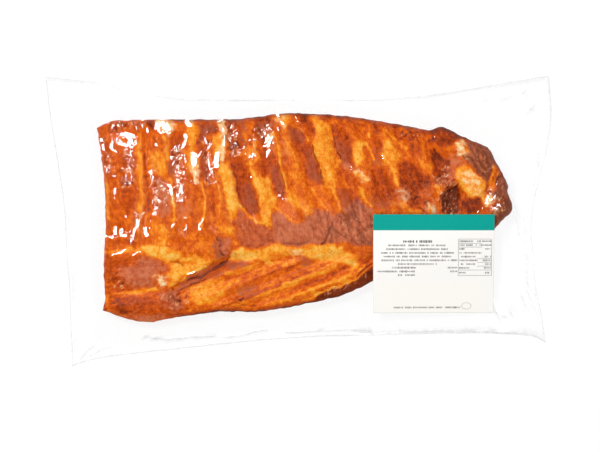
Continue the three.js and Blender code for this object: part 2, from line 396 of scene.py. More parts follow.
def ribRelief(x, y):
    relief = np.zeros(np.shape(x))
    for halfWidth, foot, centreLine in ribLines:
        ys = [point[1] for point in centreLine][::-1]
        xs = [point[0] for point in centreLine][::-1]
        lean = math.atan2(xs[0] - xs[-1], ys[-1] - ys[0])
        away = np.abs(x - np.interp(y, ys, xs)) * math.cos(lean)
        bar = 1 - grow(away, ribForm["flatShare"] * halfWidth, halfWidth)
        relief = np.maximum(relief, bar * (1 - smooth((foot + ribForm["footLift"] - y) / ribForm["footBlend"])))
    return relief


def broadTop(x, y, furrowShare=1):  # the meat's top face, before its rim rounds down
    _, across = turned(x, y, *fan["axis"])
    ridges = grow(x, *fan["fade"]) * fan["ridge"] * np.sin(across / fan["pitch"] * 2 * np.pi)
    top = rackForm["meatHeight"] + rackForm["ribHeight"] * ribRelief(x, y)
    top = top - flapShare(x, y) * (flap["drop"] - ridges)
    for moundX, moundY, halfLength, halfWidth, turn, height in mounds.values():
        lengthwise, crosswise = turned(x, y, moundX, moundY, math.radians(turn))
        top = top + height * (1 - grow(np.hypot(lengthwise / halfLength, crosswise / halfWidth), *moundFade))
    for halfWidth, depth, path in furrows.values():
        away = pathDistance(x, y, curveThrough(path, furrowSteps)) / halfWidth
        top = top - furrowShare * depth * np.exp(-away ** 2)
    return top


# The label lies level over the meat, then bends down past the rack's lower right edge.

labelForm = {
    "left": 61.5, "right": 161.5, "bottom": -76, "top": 5.5,
    "height": 24, "thickness": 0.3, "gap": 0.4,
    "columns": 110, "rows": 90,
    "border": 7, "blend": 15,
    "faceShare": 0.7,  # of the thickness, up to the printed face
    "paper": 0.18,
    "bandDepth": 13.2, "bandEdge": 0.15,
    "field": (90, 56), "fieldEdge": 0.5,  # the creamier field's right and upper edge
}
labelSlope = {"axis": (61, -50, math.radians(23)), "bendLength": 22, "bendRadius": 78}


def labelUnder(x, y):
    _, across = turned(x, y, *labelSlope["axis"])
    length = labelSlope["bendLength"]
    bent = np.clip(length - across, 0, length)
    sloped = np.maximum(0, -across) * length
    return labelForm["height"] - (bent ** 2 / 2 + sloped) / labelSlope["bendRadius"]


def underLabel(x, y, height):  # the film follows the label's underside and a little way round it
    beyond = np.hypot(
        np.maximum(np.maximum(labelForm["left"] - x, x - labelForm["right"]), 0),
        np.maximum(np.maximum(labelForm["bottom"] - y, y - labelForm["top"]), 0),
    )
    hold = 1 - grow(beyond, labelForm["border"], labelForm["blend"])
    return mix(height, labelUnder(x, y) - labelForm["gap"], hold)


# Where the surface changes. Fat shines yellow through the marinade and lean meat is redder between the ribs.
# Purple and brown meat is bare, pink and pale are bare skin and bone ends, dark is painted shade in hollows,
# cuts, creases and along the rim, and a few dark crumbs and blood lines of the meat itself.

fatStrokes = {  # half width, strength, path
    "cut edge": (2.2, 0.65, [(-158.5, 30), (-157.5, 15), (-157, 2)]),
    "rib 1": (3.4, 0.6, [(-132, 64), (-130.5, 40), (-129.5, 17), (-130, 5)]),
    "rib 1 foot": (2.5, 0.5, [(-130, 5), (-133, -5), (-137, -14)]),
    "rib 2 side": (2.2, 0.6, [(-112, 70), (-109, 60), (-108, 51)]),
    "rib 2 edge": (1.3, 0.85, [(-105.5, 36), (-103, 22), (-103, 11), (-103, -1)]),
    "rib 2 foot": (5.8, 0.5, [(-115, -6), (-110, -12), (-113, -17)]),
    "rib 3 line": (1.4, 0.75, [(-80, 32), (-78, 22), (-77, 7), (-81, -4)]),
    "rib 4 line": (1.2, 0.7, [(-74, 60), (-70, 42), (-66, 26), (-64, 7)]),
    "rib 4 foot": (4.1, 0.6, [(-63, -7), (-57, -9), (-53, -7)]),
    "rib 5 top": (3.3, 0.75, [(-36, 66), (-40, 55), (-39, 48)]),
    # Painted highlight and fat: the bright line along rib 6's left edge, which faces the light.
    "rib 6 edge": (1.5, 0.85, [(-21, 74), (-19, 66), (-16, 55), (-14, 42), (-11, 31), (-7, 22), (-4, 16)]),
    "rib 6": (5, 0.25, [(-11, 75), (-7, 59), (-3, 41), (1, 30)]),
    "rib 6 foot": (5, 0.65, [(-6, 20), (1, 13), (9, 8)]),
    # Painted highlight and fat: the bright line along rib 7's left edge, which faces the light.
    "rib 7 edge": (2.4, 0.75, [(12, 62), (14.5, 54), (18.5, 44), (22, 37)]),
    "rib 7 top": (3.4, 0.75, [(13, 88), (15, 82), (18, 76)]),
    "rib 7 low": (4, 0.8, [(25, 41), (25, 34)]),
    "upper strand": (1.3, 0.7, [(71, 77), (75, 72), (80, 67)]),
    "upper strand 2": (1.2, 0.6, [(57.5, 79), (57, 74), (58, 69)]),
    "rib 8 side": (1.3, 0.8, [(55, 64), (59, 58), (63, 51)]),
    "rib 9": (2.3, 0.85, [(70, 54), (73, 48), (78, 42), (80, 35), (84, 27)]),
    "rib 7 far edge": (0.9, 0.8, [(27.5, 72), (28.5, 64), (30.5, 57), (34.5, 50.5)]),
    "rib 8 foot": (3.6, 0.9, [(47, 39), (51, 37), (55, 33)]),
    "rib 7 foot": (1.8, 0.75, [(29, 28), (32, 18), (37, 8)]),
    "strand in gap F": (1.1, 0.6, [(-6, 79.5), (2, 76), (7, 71), (8, 66)]),
    "rib 8 strand": (1.7, 0.75, [(50, 27), (55, 20), (60, 12)]),
    "rib 9 strand": (2.5, 0.6, [(84, 65), (88, 61), (92, 54)]),
    "rib 10 light": (3, 0.5, [(102, 47), (108, 44)]),
    "tendon": (2.4, 0.6, [(161, 44), (160, 36), (156, 27)]),
    "tendon side": (1, 0.6, [(166, 40), (163, 33), (158, 25)]),
    "fold lobe": (3, 0.6, [(108, 14), (108, 8)]),
    "shoulder": (4.5, 0.9, [(131, 62), (135, 64), (136, 56)]),
    "fold lip": (2.6, 0.65, [(114, 29), (117, 26), (116, 21)]),
    "end foot": (3.3, 0.5, [(86, 14), (94, 9), (101, 9)]),
    "corner edge": (2.6, 0.45, [(-159, -60), (-158.5, -68), (-157, -74)]),
    "flap edge": (2.2, 0.75, [(-162, -26), (-154, -26), (-145, -24), (-138, -22)]),
    "corner strip": (1.6, 0.8, [(-150, -60.5), (-142, -59), (-130, -58), (-119, -57)]),
    "slit rim": (1.5, 1, [(-97, -48), (-91, -44.5), (-86, -41.5), (-80, -38.5)]),
    "fan 1": (2, 0.6, [(-90, -55), (-76, -51), (-66, -48)]),
    "fan 2": (1.6, 0.65, [(-80, -61), (-70, -58), (-58, -53), (-48, -49)]),
    "fan 3": (1.2, 0.6, [(-84, -66), (-72, -62), (-60, -57)]),
    "fan 4": (2.6, 0.5, [(-60, -44), (-45, -41), (-34, -37)]),
    "fan 5": (2.4, 0.75, [(-14, -66), (10, -57), (34, -48), (53, -38)]),
    "fan 6": (2.4, 0.75, [(-11, -53), (10, -46), (30, -38)]),
    "fan 7": (1.8, 0.6, [(-36, -62), (-15, -56), (1, -51)]),
    "fan 8": (1.4, 0.7, [(6, -65), (20, -59), (38, -52), (50, -45)]),
    "fan 9": (2.6, 0.6, [(-26, -34), (-14, -36), (-5, -34)]),
    "fan 10": (2.8, 0.6, [(10, -40), (20, -37), (30, -36)]),
    "V line 1": (1.3, 0.8, [(-49, 13), (-42, 6), (-34, 0), (-26, -5)]),
    "V line 2": (1, 0.6, [(-33, 12), (-30, 4), (-27, -2)]),
    "V line 3": (1.1, 0.5, [(-20, 12), (-13, 6), (-4, 1)]),
    "V line 4": (1.1, 0.5, [(11, 27), (21, 12), (27, 4)]),
}
leanStrokes = {
    "cut end": (5, 0.4, [(-142, 34), (-140, 20), (-142, 8)]),
    "gap A": (1.6, 0.8, [(-127, 54), (-125.5, 38), (-124.5, 24), (-124, 7)]),
    "rib 2 low": (4, 0.3, [(-118, 36), (-117, 27)]),
    "rib 2 high": (4, 0.25, [(-120, 71), (-119, 62)]),
    "gap C foot": (2.2, 0.5, [(-74, 31), (-71, 19), (-69, 7)]),
    "fan 1": (1.6, 0.6, [(-52, -66), (-32, -59), (-11, -51), (11, -42)]),
    "fan 2": (1.5, 0.75, [(1, -55), (22, -47), (43, -37)]),
    "fan 3": (1.6, 0.5, [(-36, -48), (-20, -43), (1, -36)]),
    "fan 4": (1.3, 0.6, [(12, -40), (22, -36), (34, -30)]),
    "red spot": (4.1, 0.35, [(-21, -28), (-15, -29)]),
    "label side": (1.6, 0.8, [(44, -43), (52, -37), (61, -30)]),
    "upper edge": (4.1, 0.5, [(34, 82), (51, 79), (64, 77), (74, 74)]),
    "upper edge end": (3, 0.5, [(88, 77), (97, 74), (104, 73)]),
    "corner line": (1.6, 0.9, [(-116, -71), (-104, -72.5), (-92, -72)]),
    "corner line left": (1.4, 0.8, [(-152, -68), (-144, -73), (-132, -76), (-118, -75)]),
    "foot": (3, 0.35, [(-72, -2), (-68, -10)]),
    "tendon shade": (1.6, 1, [(157.5, 47), (158, 39), (156, 33), (154.5, 26)]),
}
purpleStrokes = {
    "gap D top": (4, 0.6, [(-55, 82), (-48, 81), (-46, 76)]),
    "rib 5 side": (1.8, 0.6, [(-48, 76), (-47, 68), (-45, 62)]),
    "belly": (2, 0.5, [(-46, 6), (-40, 4)]),
}
pinkStrokes = {
    "skirt 1": (2.4, 0.5, [(-15, -3), (-6, -8), (3, -14)]),
    "skirt 2": (2.2, 0.5, [(12, 6), (15, -3), (17, -12)]),
    "skirt 3": (2, 0.45, [(20, 2), (23, -6), (21, -14)]),
    "skirt 4": (1.7, 0.45, [(30, 4), (38, -3), (47, -10)]),
    "skirt 5": (1.4, 0.45, [(30, -6), (38, -11), (48, -15)]),
    "skirt 6": (1.2, 0.45, [(50, 8), (55, 0), (60, -6)]),
    "slit lip": (1.6, 0.7, [(-92, -46), (-84, -42), (-76, -38.5), (-69, -35.5)]),
    "hollow 1": (0.8, 0.45, [(122, 13), (127, 22)]),
    "hollow 2": (0.7, 0.45, [(127, 8), (130, 17)]),
    "tendon rim": (1, 0.7, [(166, 39), (163, 32), (158, 25)]),
    "outer 1": (1.2, 0.5, [(140, 53), (146, 48), (151, 40)]),
    "outer 2": (1.3, 0.45, [(143, 60), (149, 55), (154, 47)]),
    "outer 3": (1, 0.45, [(148, 62), (154, 58), (158, 52)]),
}
# Painted shade in cuts, creases, seams, hollows, the slit and beside the ribs' edges, with a few dark marks of
# the meat itself: the blood curl, crumbs and spots.
shadeAndDarkStrokes = {
    "skirt 1": (0.7, 0.7, [(34, 3), (40, -4), (43, -9)]),
    "skirt 2": (0.6, 0.65, [(30, -8), (40, -15), (50, -19)]),
    "skirt 3": (0.6, 0.65, [(36, -9), (47, -15), (58, -18.5)]),
    "skirt 4": (0.7, 0.7, [(45, 6), (52, -3), (56, -9)]),
    "skirt 5": (0.8, 0.7, [(43, 17), (47, 8), (50, 2)]),
    "skirt 6": (0.7, 0.6, [(37, -1), (48, -7), (55, -13)]),
    "skirt 7": (0.6, 0.6, [(53, 12), (56, 5), (60, -1)]),
    "skirt spot": (0.9, 0.8, [(54, -11), (55, -14)]),
    "hollow 1": (1.8, 0.85, [(122, 12), (125, 18), (130, 28)]),
    "hollow 2": (1, 0.7, [(127, 9), (130, 15), (132, 22)]),
    "hollow 3": (1.4, 0.8, [(119, 12), (120, 19), (126, 27)]),
    "end 1": (0.8, 0.6, [(164, 12), (170, 16), (175, 13)]),
    "end 2": (0.8, 0.6, [(163, 4), (170, 2), (176, 6)]),
    "end 3": (0.7, 0.5, [(165, 24), (169, 28), (172, 34)]),
    "outer 1": (0.7, 0.6, [(140, 60), (145, 52), (149, 43)]),
    "outer 2": (0.7, 0.5, [(146, 63), (151, 56), (156, 49)]),
    "gap F side": (0.8, 0.6, [(10.5, 62), (14, 53), (18, 43), (20.5, 36)]),
    "gap G side": (0.7, 0.6, [(27.5, 76), (28.5, 66), (30.5, 58), (35, 51.5)]),
    "gap E side": (0.7, 0.5, [(-17, 50), (-14.5, 42), (-12, 33), (-10.5, 26)]),
    "gap D side": (0.8, 0.5, [(-53, 40), (-51, 29), (-49, 18)]),
    "slit": (1, 0.85, [(-56, -29), (-59, -33), (-63, -35.5), (-69, -39), (-75, -42.5), (-80, -44.5),
        (-84, -46.5), (-92, -49)]),
    "slit deep": (2, 0.85, [(-59, -33.5), (-63, -36), (-70, -39.5)]),
    "slit floor": (0.8, 0.6, [(-77, -47), (-84, -50.5), (-91, -53.5), (-99, -56), (-104, -59)]),
    "blood curl": (0.8, 0.8, [(-66.5, -13.5), (-66.5, -15.5), (-63, -17), (-63, -19.5), (-65, -20.5)]),
    "blood curl end": (0.9, 0.7, [(-65, -23), (-64, -26), (-62, -28)]),
    "corner crumb": (1.3, 0.8, [(-105, -62), (-102, -65), (-97, -65)]),
    "corner crumb low": (0.7, 0.5, [(-102.5, -66), (-101.5, -68)]),
    "fan spot": (0.8, 0.8, [(-49, -65), (-46.5, -63.5)]),
    "fan low": (0.9, 0.4, [(-62, -69.5), (-52, -68), (-44, -70), (-34, -70.5)]),
    "cut line": (1.1, 0.75, [(27, -1), (25.5, -10), (22, -18), (20, -20)]),
    "label side": (1.4, 0.5, [(48, -45), (55, -39), (61, -34)]),
    "hollow 4": (0.8, 0.7, [(123, 8), (125, 14), (130, 24)]),
    "muscle line": (1.6, 0.5, [(-12, -18), (0, -18.5), (8, -17.5)]),
    "muscle line 2": (0.9, 0.5, [(10, -2), (12, -8), (13, -14)]),
    "shoulder seam": (0.6, 0.3, [(109, 62), (111, 57), (114, 50), (116, 45)]),
    "shoulder seam 2": (0.5, 0.35, [(112, 60), (114, 55), (117, 49)]),
    "muscle fold": (0.8, 0.6, [(147, 53), (151, 45), (154, 37)]),
    "muscle fold 2": (0.7, 0.5, [(152, 53), (155, 46)]),
    "end seam": (1.2, 0.7, [(167, 36), (163, 30)]),
    "flap crease": (1.2, 0.5, [(-106, -33.5), (-100, -34.5), (-96, -37)]),
    "gap I crumb": (0.9, 0.5, [(92, 20.5), (97, 20), (101, 19)]),
    "gap I low": (1.2, 0.4, [(100, 11), (105, 9)]),
}
markPaths = {
    "fat": fatStrokes, "lean": leanStrokes, "purple": purpleStrokes, "pink": pinkStrokes, "crumb": {},
    "dark": shadeAndDarkStrokes,
}
fatAreas = {  # strength, closed outline
    "rib 2": (0.5, [(-123, 57), (-113, 58), (-108, 50), (-108, 41), (-116, 38), (-123, 44)]),
    "rib 3": (0.6, [(-92, 83), (-83, 80), (-83, 70), (-84, 58), (-82, 46), (-83, 36), (-88, 33), (-91, 46),
        (-91, 60)]),
    "rib 4 high": (0.65, [(-72, 70), (-64, 72), (-60, 62), (-62, 50), (-69, 52)]),
    "rib 4": (0.9, [(-67, 48), (-58, 48), (-54, 37), (-51, 25), (-49, 13), (-51, 2), (-56, 0), (-59, 14),
        (-62, 28)]),
    "rib 5": (0.72, [(-39, 44), (-33, 36), (-25, 38), (-20, 29), (-20, 14), (-22, 2), (-24, -5), (-28, -3),
        (-31, 8), (-34, 18), (-38, 30)]),
    "rib 6 high": (0.75, [(-19, 89), (-9, 90), (-6, 86), (-8, 80), (-10, 74), (-12, 76), (-16, 82)]),
    "rib 7": (0.5, [(9, 89.5), (18, 89.5), (20, 83), (27, 80), (26, 70), (28, 60), (31, 52), (35, 49),
        (31, 40), (30, 28), (22, 29), (21, 38), (17, 45), (13, 54), (10, 62), (12, 68), (16, 73),
        (13, 80)]),
    "rib 8": (0.85, [(45, 67), (50, 66), (55, 65), (52, 58), (54, 53), (51, 47), (47, 44), (44, 50),
        (44, 60)]),
    "rib 9": (0.6, [(68, 67), (73, 68), (79, 61), (84, 53), (82, 48), (76, 49), (70, 54)]),
    "rib 5 top": (0.75, [(-46, 60), (-40, 62), (-33, 58), (-31, 52), (-36, 48), (-44, 50)]),
    "rib 10": (0.1, [(93, 66), (101, 66), (104, 55), (109, 44), (112, 36), (106, 40), (99, 46), (94, 50)]),
    "shoulder": (1, [(130, 44), (136, 46), (142, 43), (147, 37), (153, 31), (155, 24), (160, 20), (158, 12),
        (153, 12), (150, 20), (142, 20), (138, 24), (131, 29), (130, 36)]),
    "flap strip": (0.95, [(-136, -24), (-128, -21), (-115, -20), (-108, -22), (-99, -26), (-98, -31),
        (-104, -34), (-112, -33), (-120, -31), (-128, -27)]),
    "flap": (0.68, [(-106, -36), (-98, -30), (-88, -28), (-78, -30), (-72, -34), (-78, -38), (-88, -42),
        (-98, -47), (-108, -54), (-108, -46)]),
    "flap bright": (0.85, [(-90, -38), (-84, -34), (-76, -33), (-76, -37), (-84, -40)]),
    "yellow left": (1, [(-57, -31), (-54, -25), (-48, -22), (-42, -24), (-36, -25), (-33, -29), (-38, -33),
        (-44, -34), (-52, -32)]),
    "yellow middle": (0.75, [(-22, -18), (-12, -20), (-10, -24), (-20, -25), (-28, -22)]),
    "yellow join": (0.7, [(-38, -24), (-28, -22), (-10, -21), (2, -22), (11, -21), (11, -31), (2, -26),
        (-8, -30), (-24, -33), (-36, -31)]),
    "yellow right": (0.9, [(9, -21), (24, -20), (36, -22), (45, -27), (50, -36), (44, -40), (36, -35),
        (26, -36), (14, -32)]),
    "fan": (0.6, [(-91, -55), (-78, -49), (-66, -48), (-56, -52), (-62, -60), (-70, -68), (-82, -69),
        (-90, -62)]),
}
leanAreas = {
    "gap B": (0.65, [(-107, 73), (-101, 74), (-97, 70), (-96, 60), (-98, 50), (-101, 40), (-106, 38),
        (-108, 50), (-106, 60)]),
    "gap C top": (0.95, [(-83, 80), (-76, 81), (-68, 80), (-65, 76), (-69, 71), (-76, 71), (-80, 67),
        (-84, 60), (-87, 61), (-86, 68), (-83, 74)]),
    "gap C": (0.75, [(-80, 60), (-77, 60), (-74, 52), (-73, 44), (-75, 36), (-79, 35), (-81, 44),
        (-80, 52)]),
    "gap D top": (0.4, [(-60, 84), (-48, 85), (-44, 80), (-47, 72), (-47, 60), (-52, 54), (-57, 60),
        (-59, 72)]),
    "gap D": (0.8, [(-54, 45), (-50, 50), (-45, 48), (-42, 41), (-39, 34), (-34, 24), (-30, 14), (-32, 6),
        (-40, 4), (-45, 11), (-49, 17), (-52, 26), (-55, 36)]),
    "drape": (0.5, [(-30, 60), (-22, 60), (-19, 53), (-20, 45), (-23, 38), (-29, 36), (-33, 40), (-33, 46),
        (-29, 50)]),
    "gap E top": (0.75, [(-36, 84), (-24, 87), (-20, 82), (-21, 74), (-27, 66), (-32, 62), (-36, 66),
        (-37, 76)]),
    "gap E": (0.75, [(-22, 52), (-19, 50), (-16, 44), (-14, 38), (-12, 30), (-11, 24), (-13, 17), (-17, 16),
        (-21, 22), (-24, 30), (-23, 36), (-21, 44)]),
    "gap F top": (1, [(0, 88), (7, 89), (10, 83), (15, 74), (12, 70), (9, 72), (7, 76), (4, 80), (0, 82)]),
    "gap F": (0.75, [(-9, 78), (-5, 80), (3, 78), (7, 72), (5, 67), (8, 63), (11, 60), (13, 54), (16, 48),
        (18, 40), (20, 37), (20, 31), (11, 31), (6, 36), (3, 44), (0, 50), (-3, 57), (-4, 64), (-8, 71)]),
    "rib 7 cap": (0.7, [(18, 88), (28, 88), (27, 83), (22, 81), (18, 84)]),
    "gap G": (0.8, [(27, 79), (28, 70), (29, 62), (31, 56), (35, 51), (38, 45), (43, 44), (45, 52),
        (45, 64), (42, 71), (36, 78)]),
    "gap G low": (0.5, [(30, 42), (38, 42), (46, 38), (52, 31), (48, 26), (40, 28), (33, 32)]),
    "gap G foot": (0.55, [(31, 28), (40, 27), (48, 22), (52, 12), (44, 6), (36, 8), (32, 18)]),
    "gap H top": (0.6, [(61, 70), (67, 70), (69, 60), (64, 57), (60, 62)]),
    "gap H": (0.7, [(58, 42), (66, 44), (72, 40), (75, 32), (80, 26), (82, 20), (76, 14), (68, 12),
        (62, 18), (57, 26), (60, 33)]),
    "gap I": (1, [(82, 49), (90, 49), (97, 44), (105, 38), (111, 33), (106, 27), (99, 21), (90, 21),
        (84, 26), (82, 36)]),
    "gap I foot": (0.9, [(91, 19), (97, 20), (104, 17), (102, 11), (94, 10), (91, 13)]),
    "gap J top": (0.85, [(107, 74), (112, 78), (120, 78), (133, 72), (131, 67), (126, 62), (116, 62),
        (108, 66)]),
    "gap J": (1, [(109, 60), (118, 55), (124, 50), (125, 42), (124, 34), (112, 32), (111, 42), (108, 52)]),
    "upper H": (0.7, [(60, 81), (71, 79), (70, 74), (62, 72), (59, 76)]),
    "upper I": (0.7, [(78, 79), (90, 77), (90, 70), (84, 66), (79, 70)]),
    "upper J": (0.9, [(89, 77), (100, 75), (99, 70), (94, 66), (90, 69)]),
    "cap A": (0.9, [(-126, 83), (-119, 84), (-118, 77), (-122, 75), (-126, 78)]),
    "rib 10 side": (0.7, [(90, 66), (98, 68), (103, 60), (100, 52), (93, 54)]),
    "belly": (0.6, [(-54, 5), (-50, 10), (-46, 8), (-42, 3), (-36, -1), (-30, -4), (-22, -7), (-20, -12),
        (-20, -18), (-30, -21), (-42, -22), (-50, -18), (-54, -8)]),
    "fold hollow": (0.9, [(118, 22), (124, 28), (131, 30), (133, 20), (133, 9), (127, 5), (118, 6)]),
    "dark red": (0.95, [(137, 19), (150, 19), (152, 14), (149, 9), (140, 6), (134, 9), (134, 15)]),
    "corner": (0.75, [(-151, -64), (-146, -63), (-130, -62), (-112, -62), (-96, -68), (-92, -76),
        (-110, -80), (-128, -80), (-142, -77), (-151, -74)]),
    "flap oval": (0.3, [(-160, -28), (-148, -29), (-135, -27), (-126, -28), (-112, -35), (-107, -39),
        (-112, -44), (-122, -46), (-120, -54), (-130, -57), (-150, -59), (-159, -54)]),
}
purpleAreas = {
    "gap B": (0.75, [(-107, 51), (-102, 52), (-100, 46), (-102, 39), (-106, 39)]),
    "flap oval": (0.8, [(-142, -42), (-130, -30), (-121, -32), (-112, -37), (-112, -41), (-121, -45),
        (-120, -54), (-138, -56)]),
    "gap C top": (0.8, [(-82, 79), (-76, 80), (-68, 79), (-67, 74), (-74, 72), (-84, 64), (-86, 62),
        (-85, 70)]),
    "gap C": (0.55, [(-79, 56), (-77, 56), (-75, 48), (-76, 38), (-79, 42)]),
    "gap D": (0.7, [(-45, 30), (-39, 30), (-34, 22), (-31, 14), (-33, 7), (-40, 5), (-45, 12), (-47, 20)]),
    "gap E top": (0.75, [(-36, 80), (-28, 85), (-21, 82), (-22, 74), (-30, 66), (-35, 70)]),
    "gap E": (0.8, [(-21, 46), (-18, 46), (-15, 38), (-13, 30), (-13, 22), (-17, 22), (-20, 30),
        (-22, 36)]),
    "gap F high": (0.75, [(-9, 77), (0, 78), (5, 74), (5, 67), (0, 63), (-4, 66), (-8, 71)]),
    "gap F": (0.8, [(9, 58), (12, 58), (15, 50), (17, 42), (20, 37), (19, 32), (12, 32), (8, 38), (9, 48)]),
    "gap G": (0.5, [(30, 66), (36, 66), (43, 60), (44, 50), (42, 45), (37, 46), (34, 52), (30, 58)]),
    "gap H": (0.75, [(62, 58), (67, 58), (69, 52), (67, 46), (62, 47)]),
    "gap G foot": (0.6, [(32, 27), (38, 27), (44, 18), (46, 10), (38, 8), (34, 14)]),
    "gap H foot": (0.6, [(60, 20), (70, 17), (78, 16), (76, 10), (64, 9), (58, 14)]),
    "gap J foot": (0.85, [(110, 32), (116, 35), (124, 32), (122, 29), (114, 29)]),
    "blood spot": (0.9, [(-67, -14), (-63, -12), (-58, -16), (-57, -24), (-60, -30), (-67, -31), (-71, -25),
        (-70, -18)]),
    "slit tip": (0.9, [(-66, -39), (-58, -34), (-50, -34), (-44, -36), (-46, -39), (-54, -40)]),
    "slit lip": (0.8, [(-84, -48), (-76, -44), (-66, -41), (-62, -43), (-66, -46), (-76, -48)]),
    "slit floor": (0.9, [(-106, -59), (-100, -52), (-90, -48), (-80, -41), (-70, -36), (-66, -38),
        (-76, -44), (-84, -52), (-96, -56)]),
    "purple spot": (0.8, [(2, -32), (5, -27), (9, -29), (10, -35), (5, -37)]),
    "fan": (0.6, [(-50, -58), (-44, -54), (-34, -54), (-28, -60), (-38, -64), (-48, -62)]),
    "corner fold": (0.7, [(-112, -58), (-104, -57), (-100, -63), (-94, -68), (-100, -72), (-112, -69)]),
}
brownAreas = {
    "outer muscle": (0.9, [(137, 67), (146, 64), (155, 61), (158, 58), (161, 51), (162, 44), (158, 36),
        (154.5, 28), (152, 33), (149, 38), (144, 43), (139, 48), (136, 52), (137.5, 58)]),
    "fold hollow": (0.15, [(119, 24), (124, 28), (131, 30), (132, 25), (134, 17), (133, 9), (128, 6),
        (119, 6), (117, 14)]),
    "end lobe": (1, [(160, 20), (163, 30), (167, 38), (171, 38), (176, 30), (174, 22), (172, 17),
        (165, 17)]),
    "foot lobe": (1, [(163, 14), (171, 17), (179, 14), (178, 4), (168, -3), (160, -4), (160, 6)]),
    "belly": (0.4, [(-54, 5), (-50, 10), (-46, 8), (-42, 3), (-36, -1), (-30, -4), (-22, -7), (-20, -12),
        (-20, -18), (-30, -21), (-42, -22), (-50, -18), (-54, -8)]),
    "skirt": (0.85, [(-22, 5), (-17, 7), (-10, 2), (-2, -1), (5, 1), (6, 8), (10, 11), (18, 8), (25, 8),
        (30, 3), (38, 11), (48, 18), (60, 10), (64, -19), (50, -20), (36, -18), (24, -20), (10, -20),
        (-2, -20), (-12, -19), (-21, -15)]),
}
pinkAreas = {
    "rib 2 skin": (0.7, [(-117, 36), (-108, 34), (-104, 26), (-104, 8), (-112, 2), (-116, 12), (-118, 24)]),
    "gap B skin": (0.5, [(-101, 38), (-95, 38), (-92, 22), (-92, 6), (-100, 4), (-102, 20)]),
    "flap oval": (0.5, [(-146, -40), (-138, -37), (-130, -29), (-121, -32), (-112, -37), (-112, -41),
        (-121, -45), (-120, -54), (-138, -56), (-146, -52)]),
    "shoulder": (0.7, [(124, 52), (130, 55), (136, 50), (136, 44), (131, 40), (126, 35), (122, 42)]),
    "shoulder low": (0.65, [(124, 35), (132, 36), (134, 31), (127, 30)]),
    "fold lobe": (0.9, [(106, 16), (110, 18), (113, 12), (112, 6), (106, 6), (105, 11)]),
    "fold lobe high": (0.7, [(104, 30), (108, 30), (110, 24), (108, 20), (104, 23)]),
    "inner lobe": (0.75, [(81, 26), (86, 27), (92, 20), (90, 12), (84, 14)]),
    "corner rim": (0.85, [(-142, -79), (-128, -83.5), (-112, -82), (-112, -78.5), (-128, -79)]),
    "blood spot": (0.6, [(-63, -12), (-58, -16), (-57, -24), (-60, -29), (-63, -26), (-62, -18)]),
    "corner fold": (0.7, [(-113, -58), (-104, -58), (-98, -66), (-96, -70), (-104, -71), (-112, -67)]),
    "gap G end": (0.8, [(38, 42), (42, 47), (47, 46), (48, 41), (42, 40)]),
    # Painted reflection: the film's silvery sheen, painted pink into the meat.
    "silver": (0.7, [(-30, 78), (-24, 80), (-20, 76), (-20, 70), (-24, 60), (-28, 60), (-26, 68)]),
    "rib 6 stripe": (0.35, [(-17, 76), (-13, 76), (-10, 62), (-8, 46), (-12, 46), (-14, 60)]),
}
paleAreas = {
    "bone end": (0.95, [(-118, 83), (-112, 84), (-106, 83), (-103, 79), (-104, 74), (-108, 71), (-113, 73),
        (-117, 76)]),
    "rib 3 top": (0.9, [(-94, 84), (-88, 84), (-88, 79), (-92, 77)]),
    "rib 4 end": (0.75, [(-67, 84), (-61, 84), (-60, 79), (-60.5, 70), (-61, 60), (-61, 50), (-63.5, 48),
        (-64.5, 56), (-64, 66), (-63.5, 74), (-66, 80)]),
    "rib 3": (0.6, [(-89, 50), (-83, 51), (-82, 42), (-82, 32), (-87, 31), (-89, 40)]),
    # Painted reflection: the film's silvery sheen, painted pale into the meat.
    "silver": (0.55, [(-29, 61), (-26, 60), (-23, 63), (-20.5, 69), (-21.5, 73), (-25, 70)]),
    "rib 6 top": (0.5, [(-19, 89), (-14, 89), (-9, 80), (-11, 76), (-15, 79), (-18, 83)]),
    "rib 8 foot": (0.35, [(44, 42), (51, 41), (57, 37), (58.5, 31), (53, 31), (47, 36)]),
    "shoulder": (0.75, [(128.5, 63), (132, 66.5), (136, 68.5), (137, 65), (135.5, 60), (138, 55), (138, 51),
        (134, 53), (130, 55)]),
    "end seam": (0.65, [(153, 12), (153, 19), (157, 24), (161, 22), (159, 16), (157, 12)]),
    "shoulder fat": (0.35, [(134, 40), (142, 42), (150, 32), (152, 22), (143, 22), (137, 30)]),
    "flap wedge": (0.6, [(-122, -46.5), (-114, -45.5), (-108, -46.5), (-111, -53), (-115, -55),
        (-117.5, -52), (-117, -48.5)]),
    # The fold lobe's pale is its own light colour and also a painted highlight on it.
    "fold lobe": (0.35, [(106.5, 16), (110, 17), (112, 12), (111, 7), (107, 8)]),
    "inner lobe": (0.18, [(83, 25), (87, 26), (91, 20), (90, 14), (85, 15)]),
    "middle": (0.35, [(-9, -24), (0, -23), (5, -25), (3, -29), (-6, -29)]),
}
# Painted shade: the fold hollow, the flap's lower edge, which faces away from the light, and the thick end.
paintedShadeAreas = {
    "fold hollow": (0.2, [(119, 20), (124, 26), (131, 30), (131, 24), (133, 17), (132, 9), (128, 6),
        (119, 6), (118, 12)]),
    "lower edge": (0.7, [(10, -67), (20, -60.5), (30, -56.5), (40, -52.5), (49, -48), (57, -42), (63, -38),
        (63, -50), (52, -58), (40, -62.5), (28, -65)]),
    "end shade": (0.5, [(168, 30), (172, 38), (178, 26), (180, 10), (172, -1), (166, -3), (168, 8),
        (173, 16), (172, 24)]),
}
markAreas = {
    "fat": fatAreas, "lean": leanAreas, "purple": purpleAreas, "brown": brownAreas, "pink": pinkAreas,
    "pale": paleAreas, "dark": paintedShadeAreas,
}


fieldFade = (0.4, 0.8)
scatterBox = {"x": (-168, 180), "y": (-84, 90)}


def fieldShare(x, y, halfWidth, path):  # 1 along a path, ragged towards its sides
    return 1 - grow(pathDistance(x, y, path) / halfWidth + rough("field edge", x, y), *fieldFade)


